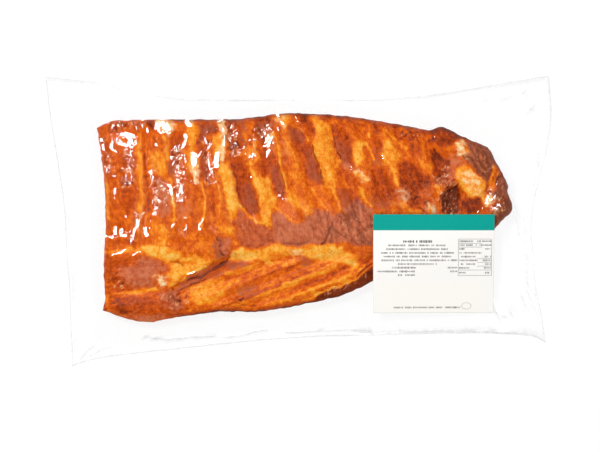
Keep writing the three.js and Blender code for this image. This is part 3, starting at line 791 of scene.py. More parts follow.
def scatterStrokes(form, seed, share):  # short strokes, as many as the share allows: half width, path
    rng = np.random.default_rng(seed)
    pitch, jitter = form["pitch"], form["jitter"]
    x, y = np.meshgrid(np.arange(*scatterBox["x"], pitch), np.arange(*scatterBox["y"], pitch))
    x = x.ravel() + rng.uniform(-jitter, jitter, x.size)
    y = y.ravel() + rng.uniform(-jitter, jitter, y.size)
    halfWidth = rng.uniform(*form["halfWidth"], x.size)
    halfLength = rng.uniform(*form["halfLength"], x.size)
    turn = np.radians(rng.uniform(*form["turn"], x.size))
    kept = rng.uniform(0, 1, x.size) < share(x, y)
    dx, dy = halfLength * np.cos(turn), halfLength * np.sin(turn)
    return [(halfWidth[k], [(x[k] - dx[k], y[k] - dy[k]), (x[k] + dx[k], y[k] + dy[k])])
            for k in np.nonzero(kept)[0]]


crumbForm = {"pitch": 2.4, "jitter": 0.9, "halfWidth": (0.4, 0.8), "halfLength": (0.3, 1.9), "turn": (25, 115),
             "fromRim": 3.5, "firstSeed": 70}
# Dark crumbs in the hollow and along the edges add to the painted shade there; pale crumb specks are partly
# painted dim glints of the crinkled film.
crumbFields = {  # crumbs of membrane and marinade, partly painted shade and glints: kind, strength, how many, half width, path
    "hollow": ("dark", 0.7, 0.5, 9, [(124, 10), (125, 26)]),
    "hollow light": ("crumb", 0.5, 0.5, 9, [(124, 10), (122, 24), (118, 38)]),
    "seam": ("crumb", 0.3, 0.2, 6, [(113, 56), (119, 40)]),
    "end": ("dark", 0.7, 0.4, 7, [(168, 6), (170, 26)]),
    "end light": ("crumb", 0.5, 0.35, 7, [(167, 4), (168, 28)]),
    "muscle": ("crumb", 0.35, 0.15, 8, [(146, 57), (154, 44)]),
    "corner": ("dark", 0.6, 0.4, 5, [(-156, 76), (-138, 79), (-120, 79)]),
    "corner light": ("crumb", 0.5, 0.3, 5, [(-154, 77), (-138, 81), (-120, 80)]),
    "gap C": ("dark", 0.5, 0.4, 5, [(-76, 78), (-75, 60), (-73, 36)]),
    "gap D": ("dark", 0.55, 0.45, 6, [(-56, 80), (-52, 58)]),
    "gap D light": ("fat", 0.5, 0.25, 6, [(-56, 78), (-50, 56)]),
    "upper edge": ("dark", 0.45, 0.35, 5, [(88, 73), (104, 71)]),
    "upper edge light": ("crumb", 0.5, 0.2, 5, [(86, 74), (100, 71)]),
    "flap corner": ("dark", 0.65, 0.4, 6, [(-106, -60), (-98, -66)]),
    "flap corner light": ("crumb", 0.45, 0.3, 6, [(-108, -62), (-96, -70)]),
    "flap oval": ("crumb", 0.55, 0.4, 5, [(-152, -40), (-151, -54)]),
    "skirt": ("dark", 0.5, 0.35, 10, [(38, 2), (54, -6)]),
    "skirt light": ("crumb", 0.4, 0.3, 10, [(34, -4), (54, -8)]),
    "lower edge": ("crumb", 0.5, 0.5, 4, [(24, -61), (40, -56), (54, -48)]),
    "lower edge dark": ("dark", 0.8, 0.5, 4, [(22, -61), (40, -56), (58, -46)]),
    "inner lobe": ("dark", 0.6, 0.35, 6, [(94, 20), (103, 17)]),
}
markForms = {  # from where and over what width a stroke fades, in half widths; an area's blend; height
    "fat": (0, 1.3, 4, 0.45), "lean": (0, 1.4, 4.5, -0.5), "purple": (0, 1.5, 7, -0.1),
    "brown": (0.3, 0.9, 3.5, 0.15), "pink": (0, 1.4, 8, 0.1), "pale": (0, 1.3, 3.4, 0.35),
    "dark": (0.05, 1.1, 2.8, -1.1), "crumb": (0, 1.2, 3, 0.2),
}
markReach = {"halfWidths": 2.5, "room": 4, "strokeStreak": 0.35, "areaStreak": 0.3}  # streaks fray the edges
grainStretch = {"streaks": 3, "fibres": 7, "wrinkles": 3.2}
ribGrain = {"firstX": -139.75, "topY": 84, "pitch": 25.75, "lean": 0.1, "spread": 0.028}
wrinkle = {"width": 0.3, "depth": 0.7}


def grainOf(x, y):  # across and along the grain: ribs lean more from left to right, the flap's grain fans out
    down = ribGrain["topY"] - y
    across = (ribGrain["pitch"] * (x - ribGrain["firstX"] - ribGrain["lean"] * down)
              / (ribGrain["pitch"] + ribGrain["spread"] * down))
    fanAlong, fanAcross = turned(x, y, *fan["axis"])
    inFlap = flapShare(x, y) > 0.5
    return np.where(inFlap, fanAcross, across), np.where(inFlap, fanAlong, y)


def grainNoise(name, x, y):
    across, lengthwise = grainOf(x, y)
    return rough(name, across, lengthwise / grainStretch[name])


def markShare(kind, x, y):  # 0 to 1 for one kind of mark, with frayed edges
    wx, wy = shifted("marks", x, y)
    streak = grainNoise("streaks", x, y)
    start, blend, areaBlend, _ = markForms[kind]
    room = markReach["room"]
    share = np.zeros(np.shape(x))
    for halfWidth, strength, path in markPaths.get(kind, {}).values():
        near = nearPath(x, y, path, markReach["halfWidths"] * halfWidth + room)
        away = pathDistance(wx[near], wy[near], path) / halfWidth + markReach["strokeStreak"] * streak[near]
        share[near] = np.maximum(share[near], strength * (1 - grow(away, start, blend)))
    for strength, outline in markAreas.get(kind, {}).values():
        near = nearPath(x, y, outline, areaBlend + room)
        depth = insideDepth(wx[near], wy[near], outline) / areaBlend - markReach["areaStreak"] * streak[near]
        share[near] = np.maximum(share[near], strength * smooth(depth + 0.5))
    return share


def wrinkleLines(x, y):  # thin furrows along the grain of bare muscle
    return 1 - smooth(np.abs(grainNoise("wrinkles", x, y)) / wrinkle["width"])


def fineTop(x, y):  # lumps, fibres and the marks' own relief on the broad form
    relief = rough("lumps", x, y) + rough("small lumps", x, y) + grainNoise("fibres", x, y)
    for kind, (_, _, _, height) in markForms.items():
        share = markShare(kind, x, y)
        relief = relief + height * share
        if kind == "brown":
            relief = relief - wrinkle["depth"] * wrinkleLines(x, y) * share
    return relief


# Bag film over the meat and in its margins.

filmForm = {
    "columns": 330, "rows": 155,
    "lift": 0.95,  # above the meat
    "rimLift": 0.8,  # outside the rack's contour
    "furrowShare": 0.75,  # how far it sinks into the meat's furrows
    "least": 0.45,  # least room between the meat and the film
    "swellRoom": 0.3,  # more room below the film's own swells
    "ridgeSkew": 0.35, "ridgeHeight": 0.2, "ridgeSharpness": 3,
    "ply": 0.5,  # between the two plies in the margin
    "cadPly": 0.8,
    "webHeight": 8, "webWidth": 3, "webCurve": 2.2,
    "marginLift": 0.5, "waveHeight": 0.7,
    "marginRings": 25, "marginGrading": 0.9, "lowerRingStep": 3,
    "lowest": 0.05,
    "creaseHeight": 0.5, "creaseWidth": 0.35,
    "freeShare": 0.25, "freeEdge": (-1, 4),
    "sideRings": 6, "sideStart": 0.35, "sideHeight": 7.4, "sideSine": 0.34, "underRings": 4,
    "trim": 0.3,  # off the bag's outline
    "blisterSpread": 0.3,  # how far a blister's slopes scatter about the key light's
    "edgeGloss": 0.55, "edgeWidth": 1.8,
}
marginWaves = [(13, 21), (-31, 9)]  # wave lengths along X and Y
looseZone = {"x": -62, "y": -26, "blendX": 42, "blendY": 20}  # the film clings loosely left of and above this
lights = {
    "key": {"place": (-0.62, 0.58, 1.65), "size": 0.52, "radiance": 27},
    "fill": {"place": (1.3, -0.5, 1.5), "size": 1.2, "radiance": 2.6},
}
blisters = {  # small bulges of film that mirror the key light: half width, path
    "corner curl": (2.8, [(-145, 71), (-140, 71), (-136.5, 68), (-135.5, 64), (-138, 62.5)]),
    "corner curl middle": (1.8, [(-140, 70), (-138.5, 66)]),
    "corner curl low": (2, [(-149, 66.5), (-146, 64), (-142, 63), (-138, 63)]),
    "corner tail": (1.7, [(-153, 64), (-153.5, 60), (-150, 57.5)]),
    "edge strip": (1.1, [(-163.5, 68), (-162, 62), (-160, 58)]),
    "squiggle": (0.7, [(-158.5, 41), (-156.5, 44.5), (-154, 43), (-152, 44.5), (-151, 42)]),
    "corner drop": (0.9, [(-151.5, 37), (-150, 36)]),
    "left drop": (1, [(-151, 27), (-151.5, 23)]),
    "left drop low": (0.9, [(-152, 19), (-151, 18)]),
    "left crumb": (0.7, [(-148.5, 28), (-147.5, 28)]),
    "corner top": (0.9, [(-149, 80.5), (-148, 78)]),
    "corner top crumb": (0.7, [(-145.5, 79.5), (-145, 78)]),
    "rib 1 top": (1.2, [(-124.5, 76), (-124, 73)]),
    "rib 2 drop": (1.4, [(-117.5, 64.5), (-117, 62)]),
    "gap A drop": (1, [(-123.5, 41), (-122, 38.5)]),
    "gap A drop low": (0.9, [(-120.5, 36.5), (-120.5, 32.5)]),
    "gap A tail": (0.7, [(-120, 27), (-120, 24)]),
    "gap A end": (0.7, [(-115.5, 19), (-115.5, 16)]),
    "bone side": (1.9, [(-117.5, 80), (-116.5, 75.5), (-112.5, 73)]),
    "bone middle": (2.7, [(-113, 80), (-108.5, 77.5), (-107, 74)]),
    "rib 3 top": (2.2, [(-92, 82), (-90, 79)]),
    "rib 3 side": (1.5, [(-92.5, 71), (-93, 66), (-95, 61)]),
    "rib 3 thread": (0.8, [(-94, 54), (-93, 48)]),
    "rib 3 patch": (2.1, [(-86, 54), (-86, 47)]),
    "rib 3 arm": (1.1, [(-82.5, 54), (-80, 57)]),
    "gap B drop": (0.8, [(-105.5, 53), (-104.5, 51)]),
    "skin rim": (1.2, [(-108, 30), (-105.5, 27), (-104.5, 22)]),
    "skin thread": (0.6, [(-103.5, 20), (-102.5, 13)]),
    "curl": (0.8, [(-99, 28), (-96.5, 27), (-95.5, 24), (-97, 21), (-99, 22)]),
    "gap C patch": (1.8, [(-67, 56), (-68, 50), (-67.5, 45)]),
    "gap C thread": (0.8, [(-74.5, 50), (-73, 44), (-71.5, 40)]),
    "gap C high": (0.7, [(-78, 69), (-76, 64)]),
    "gap C slant": (0.9, [(-78, 2), (-80.5, -1.5), (-82, -7)]),
    "rib 4 top": (0.9, [(-66, 82), (-63, 83)]),
    "rib 4 streak": (0.7, [(-62.5, 78), (-61, 70), (-62, 62)]),
    "rib 5 crumb": (0.7, [(-39.5, 37), (-39, 35.5)]),
    "silver high": (0.5, [(-25, 77), (-22, 75.5), (-20.5, 72)]),
    "silver": (0.7, [(-21.5, 69), (-24, 65), (-27, 62)]),
    "silver side": (0.5, [(-25, 69.5), (-28, 65)]),
    "silver tip": (1.2, [(-25, 58), (-26.5, 54)]),
    "rib 6 top": (1.1, [(-17.5, 88), (-17, 86)]),
    "rib 6 drop": (1, [(-14, 81), (-13, 80)]),
    "rib 6 crumb": (0.9, [(-17, 77), (-16.5, 75.5)]),
    "gap F top": (0.8, [(-2.5, 86.5), (-2, 85)]),
    "gap F crumb": (0.7, [(-1, 83), (-0.5, 82)]),
    "gap G end": (0.6, [(43, 45), (44, 43)]),
    "rib 9 side": (0.5, [(69, 54), (69.5, 51)]),
    "low left": (1.4, [(-151.5, -5), (-151, -12)]),
    "low left arm": (1, [(-159, -12.5), (-154.5, -14), (-152, -11.5)]),
    "low left end": (1.2, [(-146, -7), (-146.5, -12.5), (-142.5, -12.5)]),
    "low drop": (0.9, [(-142, 4), (-141.5, 2.5)]),
    "slant": (1, [(-131.5, 0), (-134, -6), (-136.5, -12)]),
    "slant end": (0.8, [(-137, -14.5), (-138.5, -19)]),
    "foot patch": (1.6, [(-126.5, -5), (-125.5, -12)]),
    "foot patch side": (0.8, [(-122.5, -4.5), (-122.5, -6.5)]),
    "foot crumb": (0.7, [(-123, 0.5), (-122, 0)]),
    "rib 2 drop low": (1.5, [(-117.5, 11), (-119.5, 6)]),
    "gap B low": (0.8, [(-103, -3), (-104, -5)]),
    "rib 3 low": (0.8, [(-94, 3), (-92, 2.5)]),
    "rib 3 slant": (0.8, [(-92, -3), (-93.5, -8.5)]),
    "flap thread": (0.7, [(-156, -28.5), (-150, -27.5), (-146, -25.5), (-143, -24)]),
    "flap thread end": (0.6, [(-136, -27.5), (-133, -25.5), (-130, -25)]),
    "slit thread": (0.7, [(-92, -44.5), (-88, -42.5), (-85, -41.5)]),
    "end seam": (0.7, [(154.5, 21), (155.5, 18), (154.5, 15)]),
    "end crumb": (0.7, [(160.5, 19), (163, 17.5)]),
    "end crumb 2": (0.6, [(160.5, 10.5), (163.5, 9.5)]),
    "end crumb 3": (0.6, [(163, 14), (166, 12.5)]),
    "end thread": (0.6, [(151, 10.5), (155, 10)]),
    "end thread 2": (0.5, [(159, 23), (162, 28)]),
    "end thread 3": (0.5, [(163, 30), (166, 36)]),
    "label corner": (0.7, [(147, 6.5), (149, 8)]),
    "shoulder crumb": (0.6, [(111.5, 70), (112, 69)]),
}
blisterForm = {"rise": 0.4, "reach": 1.5, "room": 3, "rimFade": 3}  # the mask runs over the reach each way
crinkleFields = {  # finely crumpled film: half width, strength, path
    "corner": (6.5, 1, [(-141, 56), (-139, 45), (-141, 34)]),
    "corner top": (4, 0.9, [(-154, 79), (-142, 81), (-130, 79)]),
    "left edge": (4, 0.8, [(-161, 66), (-159, 50), (-157, 42)]),
    "top edge": (2, 0.9, [(-157, 80.5), (-130, 82.5), (-98, 82.5)]),
    "rib 2": (3.5, 0.5, [(-121, 42), (-121, 32), (-119, 22)]),
    "rib 2 low": (4, 0.9, [(-118, 22), (-117, 10)]),
    "gap B": (5.5, 1, [(-100, 58), (-98, 40), (-98, 18)]),
    "rib 3": (3.5, 0.7, [(-86, 40), (-86, 33)]),
    "gap C": (4.5, 0.9, [(-74, 62), (-73, 50), (-73, 34)]),
    "rib 4 top": (4.5, 1, [(-57, 78), (-53, 66), (-53, 55)]),
    "rib 5": (4.5, 0.65, [(-45, 60), (-40, 52), (-36, 56)]),
    "rib 5 top": (3, 0.6, [(-38, 70), (-36, 62)]),
    "gap E": (6, 0.8, [(-30, 76), (-25, 64)]),
    "low left": (4.5, 0.2, [(-150, -9), (-136, -8)]),
    "slant": (4, 0.9, [(-131, 6), (-137, -16)]),
    "skin": (5, 0.6, [(-112, 30), (-109, 12)]),
    "gap E foot": (3, 0.5, [(-14, 24), (-11, 18)]),
    "end": (4.5, 0.8, [(163, 18), (167, 10), (160, 10)]),
    "end seam": (3.5, 1, [(156, 23), (156, 14)]),
}


def looseness(x, y):
    left = 1 - grow(x, looseZone["x"], looseZone["blendX"])
    return left * grow(y, looseZone["y"], looseZone["blendY"])


def towardsKey():  # the plan direction and slope at which film mirrors the key light upwards
    middle = (Vector(lights["key"]["place"]).normalized() + Vector((0, 0, 1))).normalized()
    level = math.hypot(middle.x, middle.y)
    return middle.x / level, middle.y / level, level / middle.z


def crinkleShare(x, y):
    share = np.zeros(np.shape(x))
    for halfWidth, strength, path in crinkleFields.values():
        share = np.maximum(share, strength * fieldShare(x, y, halfWidth, path))
    return share


def blisterShare(x, y, strokes):  # 0.5 on a blister's contour, 1 well inside it and 0 well outside
    wx, wy = shifted("blisters", x, y)
    depth = np.full(np.shape(x), -blisterForm["reach"])
    for halfWidth, path in strokes:
        near = nearPath(x, y, path, halfWidth + blisterForm["room"])
        depth[near] = np.maximum(depth[near], halfWidth - pathDistance(wx[near], wy[near], path))
    return np.clip(depth / blisterForm["reach"] / 2 + 0.5, 0, 1)


speckForm = {"pitch": 2.5, "jitter": 0.8, "halfWidth": (0.4, 0.66), "halfLength": (0.3, 1.3), "turn": (30, 100),
             "seed": 38}
specks = scatterStrokes(speckForm, speckForm["seed"], crinkleShare)  # the short glints of crumpled film
glimmer = {"seed": 99, "many": 0.75, "strength": 0.8}  # painted reflection: duller glints of the crinkled film, painted as pale specks on the meat between them
print("film specks:", len(specks))


def roundedShare(inward):
    return np.sqrt(1 - (1 - np.clip(inward / rackForm["rimRounding"], 0, 1)) ** 2)


def filmTop(x, y, inward, withBlisters=True):
    clinging = broadTop(x, y, filmForm["furrowShare"]) + filmForm["lift"]
    height = mix(rackForm["rimHeight"], clinging, roundedShare(inward))
    loose = looseness(x, y) * roundedShare(inward)
    ridges = np.clip(1 - np.abs(rough("film ridges", x + filmForm["ridgeSkew"] * y, y)), 0, 1)
    ridges = filmForm["ridgeHeight"] * ridges ** filmForm["ridgeSharpness"]
    height = height + loose * (ridges + rough("film swells", x, y))
    if withBlisters:
        rise = smooth(blisterShare(x, y, blisters.values())) * smooth(inward / blisterForm["rimFade"])
        height = height + blisterForm["rise"] * rise
    return underLabel(x, y, height)


def marginMiddle(x, y, share):
    waves = sum(1 + np.sin(x / lengthX + y / lengthY) for lengthX, lengthY in marginWaves)
    fall = (filmForm["webHeight"] - filmForm["cadPly"]) * (1 - share) ** filmForm["webCurve"]
    return filmForm["marginLift"] + filmForm["cadPly"] / 2 + filmForm["waveHeight"] * waves * share + fall


folds = {  # in the margins: half width, height, strength, path
    "lower fold right": (0.9, 0.8, 0.9, [(-10, -92), (9, -91.5), (26, -90.6), (43, -90.4), (60, -91)]),
    "lower fold far": (1, 0.8, 0.9, [(84, -90.8), (95, -92), (110, -92), (128, -90.8), (146, -90.4)]),
    "lower fold end": (0.9, 0.6, 0.7, [(156, -91), (171, -91.5), (186, -93.5)]),
    "lower fold left": (1, 0.7, 0.6, [(-128, -96), (-108, -98), (-88, -96), (-69, -95)]),
    "lower fold mid": (0.9, 0.7, 0.6, [(-62, -96), (-48, -95), (-38, -91.5), (-26, -90.5)]),
    "right crinkle 1": (0.8, 0.9, 0.55, [(200, 58), (199, 44), (196, 30)]),
    "right crinkle 2": (0.8, 0.8, 0.5, [(205, 60), (203, 46), (200, 34)]),
    "right crease low": (0.8, 0.7, 0.5, [(187, 2), (188, -20), (189, -42), (191, -56)]),
    "right crease low 2": (0.7, 0.6, 0.35, [(181, 0), (183, -18), (184, -40)]),
    "right end mark": (1.6, 0.9, 0.8, [(192, 94), (194, 91.5)]),
    "right top mark": (1.1, 0.9, 0.7, [(186, 108), (188, 103)]),
    "top right smudge": (1.5, 0.5, 0.35, [(166, 101), (174, 102.5), (181, 104)]),
    "top right ring": (1.2, 0.5, 0.3, [(152, 100), (156, 100)]),
    "dimple": (0.9, 0.7, 0.6, [(162, -65), (163, -74), (169, -79), (176, -77), (177, -68)]),
    "corner crinkle 1": (0.7, 0.8, 0.5, [(184, -60), (188, -68), (187, -76)]),
    "corner crinkle 2": (0.7, 0.7, 0.45, [(190, -58), (193, -67), (193, -75)]),
    "corner crinkle 3": (0.7, 0.7, 0.4, [(197, -60), (196, -70), (199, -80)]),
    "left weld": (0.8, 0.4, 0.22, [(-186, -100), (-187, -60), (-189, -15), (-193, 30), (-199, 72)]),
    "left weld 2": (0.8, 0.4, 0.18, [(-181, -98), (-182, -55), (-184, -10), (-187, 35), (-191, 70)]),
    "left crinkle 1": (0.8, 0.6, 0.3, [(-180, 95), (-173, 88), (-167, 84)]),
    "left crinkle 2": (0.7, 0.6, 0.3, [(-176, 62), (-174, 48), (-173, 36)]),
    "left crinkle 3": (0.7, 0.5, 0.25, [(-184, 8), (-182, -6), (-183, -22)]),
    "left corner fold": (0.9, 0.8, 0.4, [(-184, -117), (-176, -108), (-168, -102)]),
    "left corner fold 2": (0.8, 0.7, 0.35, [(-176, -113), (-163, -106), (-154, -104)]),
}
foldSteps = 16


def foldRelief(x, y):
    height = np.zeros(np.shape(x))
    crease = np.zeros(np.shape(x))
    wx, wy = shifted("folds", x, y)
    for halfWidth, rise, strength, path in folds.values():
        bump = np.exp(-(pathDistance(wx, wy, curveThrough(path, foldSteps)) / halfWidth) ** 2)
        height = np.maximum(height, rise * bump)
        crease = np.maximum(crease, strength * bump)
    return height, crease


print("building the rack")
rackEdges = curvedEdges(rackOutline)
rackLoop = closedLoop(rackEdges)
rackRough = rough("rack outline", *rackLoop.T) + rough("rack outline fine", *rackLoop.T)
roughEdges = moveOutwards(rackEdges, rackRough)
filmEdges = moveOutwards(rackEdges, filmForm["rimLift"] + np.maximum(rackRough, 0))
filmInside = RimDistance(filmEdges)
rackInside = RimDistance(roughEdges)


def addCrumbs(kind, strength, seed, share):  # to the strokes, but not where the side falls away
    def inner(x, y):
        return share(x, y) * (rackInside(asPlan(x, y)) > crumbForm["fromRim"])

    crumbs = scatterStrokes(crumbForm, seed, inner)
    for number, (halfWidth, line) in enumerate(crumbs):
        markPaths[kind][f"crumb {seed} {number}"] = (halfWidth, strength, line)
    return len(crumbs)


crumbCount = addCrumbs(
    "crumb", glimmer["strength"], glimmer["seed"], lambda x, y: glimmer["many"] * crinkleShare(x, y))
for seed, (kind, strength, many, reach, path) in enumerate(crumbFields.values(), crumbForm["firstSeed"]):
    crumbCount += addCrumbs(kind, strength, seed, lambda x, y: many * fieldShare(x, y, reach, path))
print("crumbs:", crumbCount)

richness = {  # where the meat lies between dark marinade (0) and bare fat (1)
    # Dark lowers the meat towards the ramp's dark end with painted shade in hollows, cuts, creases and along
    # the rim.
    "meat": 0.47, "leftEnd": -0.08, "rightEnd": -0.09, "below": -0.1, "fat": 0.42, "lean": -0.29, "dark": -0.6,
    "crinkle": -0.14,  # painted shade: the meat below crumpled film is painted darker
}
richFades = {"left": (130, 20), "right": (95, 50)}
topFade = (5, 6)  # heights between which the marks appear
# Painted shade along the rack's rim, darkest at the outline.
rimShade = {
    "outline": 0.9, "outlineWidth": 1.2, "outlineStart": 0.3, "gapStart": -0.7,
    "broad": 0.35, "broadWidth": 5,
    "fadeX": (-112, 20), "fadeZ": (4, 3),
}
wrinkleShade = {"strength": 0.6, "fade": (14, 14)}
bareFat = 0.6  # brown and purple never lie over this much fat, they would turn it olive
# Crumb specks, partly painted glints of the film, lift the painted shade below them and turn pale.
crumbAndGlintCover = {"dark": 0.8, "pale": 0.45}


def rackMarks(x, y, z):
    onTop = grow(z, *topFade)
    shares = {kind: markShare(kind, x, y) * onTop for kind in markForms}
    across, lengthwise = grainOf(x, y)
    bare = 1 - smooth(shares["fat"] / bareFat)
    # Painted shade along the rim: a thin dark outline with gaps, and a broader darkening where the side turns
    # away from the light.
    inward = rackInside(asPlan(x, y)) + rough("rim width", x, y)
    outline = rimShade["outline"] * (1 - grow(inward / rimShade["outlineWidth"], rimShade["outlineStart"], 1))
    outline = outline * grow(rough("rim gaps", x, y), rimShade["gapStart"], 1)
    broad = rimShade["broad"] * (1 - smooth(inward / rimShade["broadWidth"]))
    rim = np.maximum(outline, broad) * grow(x, *rimShade["fadeX"]) * grow(z, *rimShade["fadeZ"])
    # Painted shade in the furrows of bare muscle.
    wrinkleLineShade = wrinkleLines(x, y) * shares["brown"] * grow(x, *wrinkleShade["fade"]) * wrinkleShade["strength"]
    dark = np.maximum(np.maximum(shares["dark"], rim), wrinkleLineShade) * (1 - crumbAndGlintCover["dark"] * shares["crumb"])
    changes = {
        "leftEnd": grow(-x, *richFades["left"]), "rightEnd": grow(x, *richFades["right"]), "below": 1 - onTop,
        "fat": shares["fat"], "lean": shares["lean"], "dark": dark, "crinkle": crinkleShare(x, y) * onTop,
    }
    rich = richness["meat"] + rough("marinade", x, y) * onTop
    rich = rich + sum(richness[name] * share for name, share in changes.items())
    pale = np.maximum(shares["pale"], crumbAndGlintCover["pale"] * shares["crumb"])
    return {
        "tone": (rich, shares["purple"] * bare, pale),
        "depth": (dark, shares["brown"] * bare, np.maximum(shares["pink"] * bare, shares["crumb"])),
        "grain": (across, lengthwise, ribRelief(x, y) * onTop),
    }


def buildRack():
    skin = Skin()
    u, v, plan = gridOver(roughEdges, rackForm["columns"], rackForm["rows"])
    x, y = plan[..., 0], plan[..., 1]
    inward = rackInside.overGrid(plan)
    height = mix(rackForm["rimHeight"], broadTop(x, y) + fineTop(x, y), roundedShare(inward))
    roof = filmTop(x, y, filmInside(plan), withBlisters=False) - filmForm["least"] - filmForm["swellRoom"]
    height = np.where(inward > 0, np.minimum(height, roof), rackForm["rimHeight"])
    top = skin.add(plan, np.maximum(height, rackForm["leastHeight"]))
    skin.cover(top)
    loops = [gridRim(top)]
    loopU, loopV = gridRim(u), gridRim(v)

    def inset(amount, level):
        ring = insetRing(roughEdges, loopU, loopV, amount)
        return skin.add(ring, level + rough("side lumps", *ring.T) * min(1, amount / rackForm["lumpsFade"]))

    for turn in np.linspace(0, math.pi / 2, rackForm["sideRings"] + 1)[1:]:
        level = mix(rackForm["rimHeight"], rackForm["baseHeight"], math.sin(turn))
        loops.append(inset(rackForm["baseInset"] * (1 - math.cos(turn)), level))
    for amount in np.linspace(rackForm["baseInset"], underForm["inset"], rackForm["underRings"] + 1)[1:]:
        loops.append(inset(amount, rackForm["baseHeight"]))
    skin.joinAll(loops)
    skin.close(loops[-1], patch(roughEdges, 0.5, 0.5), rackForm["baseHeight"])
    return skin.mesh("rackOfRibs", rackMarks)


rack = buildRack()
print("rack faces:", len(rack.data.polygons))

bagEdges = curvedEdges(bagOutline)
bagEdges = moveOutwards(bagEdges, rough("bag outline", *closedLoop(bagEdges).T) - filmForm["trim"])
bagInside = RimDistance(bagEdges)


def filmMarks(x, y, z):
    plan = asPlan(x, y)
    margin = filmInside.outside(plan)
    over = 1 - margin
    _, crease = foldRelief(x, y)
    edge = filmForm["edgeGloss"] * (1 - smooth(bagInside(plan) / filmForm["edgeWidth"]))
    return {
        "film": (looseness(x, y) * over, np.maximum(crease, edge) * margin, filmInside(plan) * over),
        "crumple": (blisterShare(x, y, [*blisters.values(), *specks]) * over, margin, over),
    }


def buildFilm():
    skin = Skin()
    u, v, plan = gridOver(filmEdges, filmForm["columns"], filmForm["rows"])
    top = skin.add(plan, filmTop(plan[..., 0], plan[..., 1], filmInside.overGrid(plan)))
    skin.cover(top)
    loops = [gridRim(top)]
    loopU, loopV = gridRim(u), gridRim(v)
    rim = gridRim(plan)
    outward = patch(bagEdges, loopU, loopV) - rim
    length = np.linalg.norm(outward, axis=1)[:, None]

    def ply(share, side):  # a ring in the margin, on the upper or the lower ply
        ring = rim + outward / length * mix(filmForm["webWidth"], length, share)
        x, y = ring.T
        half = filmForm["cadPly"] / 2
        middle = underLabel(x, y, marginMiddle(x, y, share) + half) - half
        rise, _ = foldRelief(x, y)
        free = smooth(share / filmForm["freeShare"]) * grow(bagInside(ring), *filmForm["freeEdge"])
        creases = np.clip(filmForm["creaseWidth"] - np.abs(rough("margin creases", x, y)), 0, 1)
        crumple = rough("margin crumple", x, y) + filmForm["creaseHeight"] * creases
        height = middle + free * (rise + crumple) + side * filmForm["ply"] / 2
        return skin.add(ring, np.maximum(height, filmForm["lowest"]))

    shares = np.linspace(0, 1, filmForm["marginRings"]) ** filmForm["marginGrading"]
    loops += [ply(share, 1) for share in shares]
    loops += [ply(share, -1) for share in shares[::-1][::filmForm["lowerRingStep"]]]
    for turn in np.linspace(filmForm["sideStart"], math.pi / 2, filmForm["sideRings"] + 1)[1:]:
        fallen = (math.sin(turn) - filmForm["sideSine"]) / (1 - filmForm["sideSine"])
        ring = insetRing(filmEdges, loopU, loopV, rackForm["baseInset"] * (1 - math.cos(turn)))
        loops.append(skin.add(ring, filmForm["sideHeight"] * (1 - fallen)))
    for amount in np.linspace(rackForm["baseInset"], underForm["inset"], filmForm["underRings"] + 1)[1:]:
        loops.append(skin.add(insetRing(filmEdges, loopU, loopV, amount), 0))
    skin.joinAll(loops)
    skin.close(loops[-1], patch(filmEdges, 0.5, 0.5), 0)
    return skin.mesh("bagFilm", filmMarks)


film = buildFilm()
print("film faces:", len(film.data.polygons))


def labelTop(x, y):  # the paper's printed face, a little wavy
    return labelUnder(x, y) + labelForm["thickness"] * labelForm["faceShare"] + rough("label wave", x, y)


def buildLabel():
    skin = Skin()
    x, y = np.meshgrid(np.linspace(labelForm["left"], labelForm["right"], labelForm["columns"] + 1),
                       np.linspace(labelForm["bottom"], labelForm["top"], labelForm["rows"] + 1))
    lower = skin.add(asPlan(x, y), labelTop(x, y) - labelForm["paper"])
    upper = skin.add(asPlan(x, y), labelTop(x, y))
    skin.cover(upper)
    skin.cover(lower, facingUp=False)
    skin.join(gridRim(upper), gridRim(lower))
    return skin.mesh("paperLabel", lambda x, y, z: {"sheet": (x - labelForm["left"], labelForm["top"] - y, z)})


label = buildLabel()
print("label faces:", len(label.data.polygons))


# Materials. Colours are given as seen (0 to 255) and divided by the light that falls on the pack.

lightGain = 1.12
paperGain = 1.05
brightest = 0.95


def seen(red, green, blue, gain=lightGain):
    linear = [(c / 255 / 12.92) if c <= 10 else ((c / 255 + 0.055) / 1.055) ** 2.4 for c in (red, green, blue)]
    return (*[min(c / gain, brightest) for c in linear], 1)


def node(tree, kind, inputs=None, **settings):
    made = tree.nodes.new(kind)
    for name, value in settings.items():
        setattr(made, name, value)
    for name, value in (inputs or {}).items():
        socket = made.inputs[name]
        if isinstance(value, bpy.types.NodeSocket):
            tree.links.new(value, socket)
        else:
            socket.default_value = value
    return made


def blendColour(tree, share, a, b):
    return node(tree, "ShaderNodeMix", {0: share, 6: a, 7: b}, data_type="RGBA").outputs[2]


def rangeOf(tree, value, low, high, toLow=0.0, toHigh=1.0):
    inputs = {"Value": value, "From Min": low, "From Max": high, "To Min": toLow, "To Max": toHigh}
    return node(tree, "ShaderNodeMapRange", inputs, interpolation_type="SMOOTHSTEP").outputs[0]


def maths(operation):  # a step in which one value after another joins the result
    def combine(tree, first, *others):
        for other in others:
            first = node(tree, "ShaderNodeMath", {0: first, 1: other}, operation=operation).outputs[0]
        return first

    return combine


times, plus, minus, greatest = [maths(operation) for operation in ("MULTIPLY", "ADD", "SUBTRACT", "MAXIMUM")]


def swing(tree, texture, amount):  # a texture about its middle
    return times(tree, minus(tree, texture, 0.5), amount)


def objectPlace(tree):
    return node(tree, "ShaderNodeTexCoord").outputs["Object"]


def split(tree, vector):
    return node(tree, "ShaderNodeSeparateXYZ", {0: vector}).outputs


def attribute(tree, name):
    return node(tree, "ShaderNodeAttribute", attribute_name=name).outputs["Vector"]


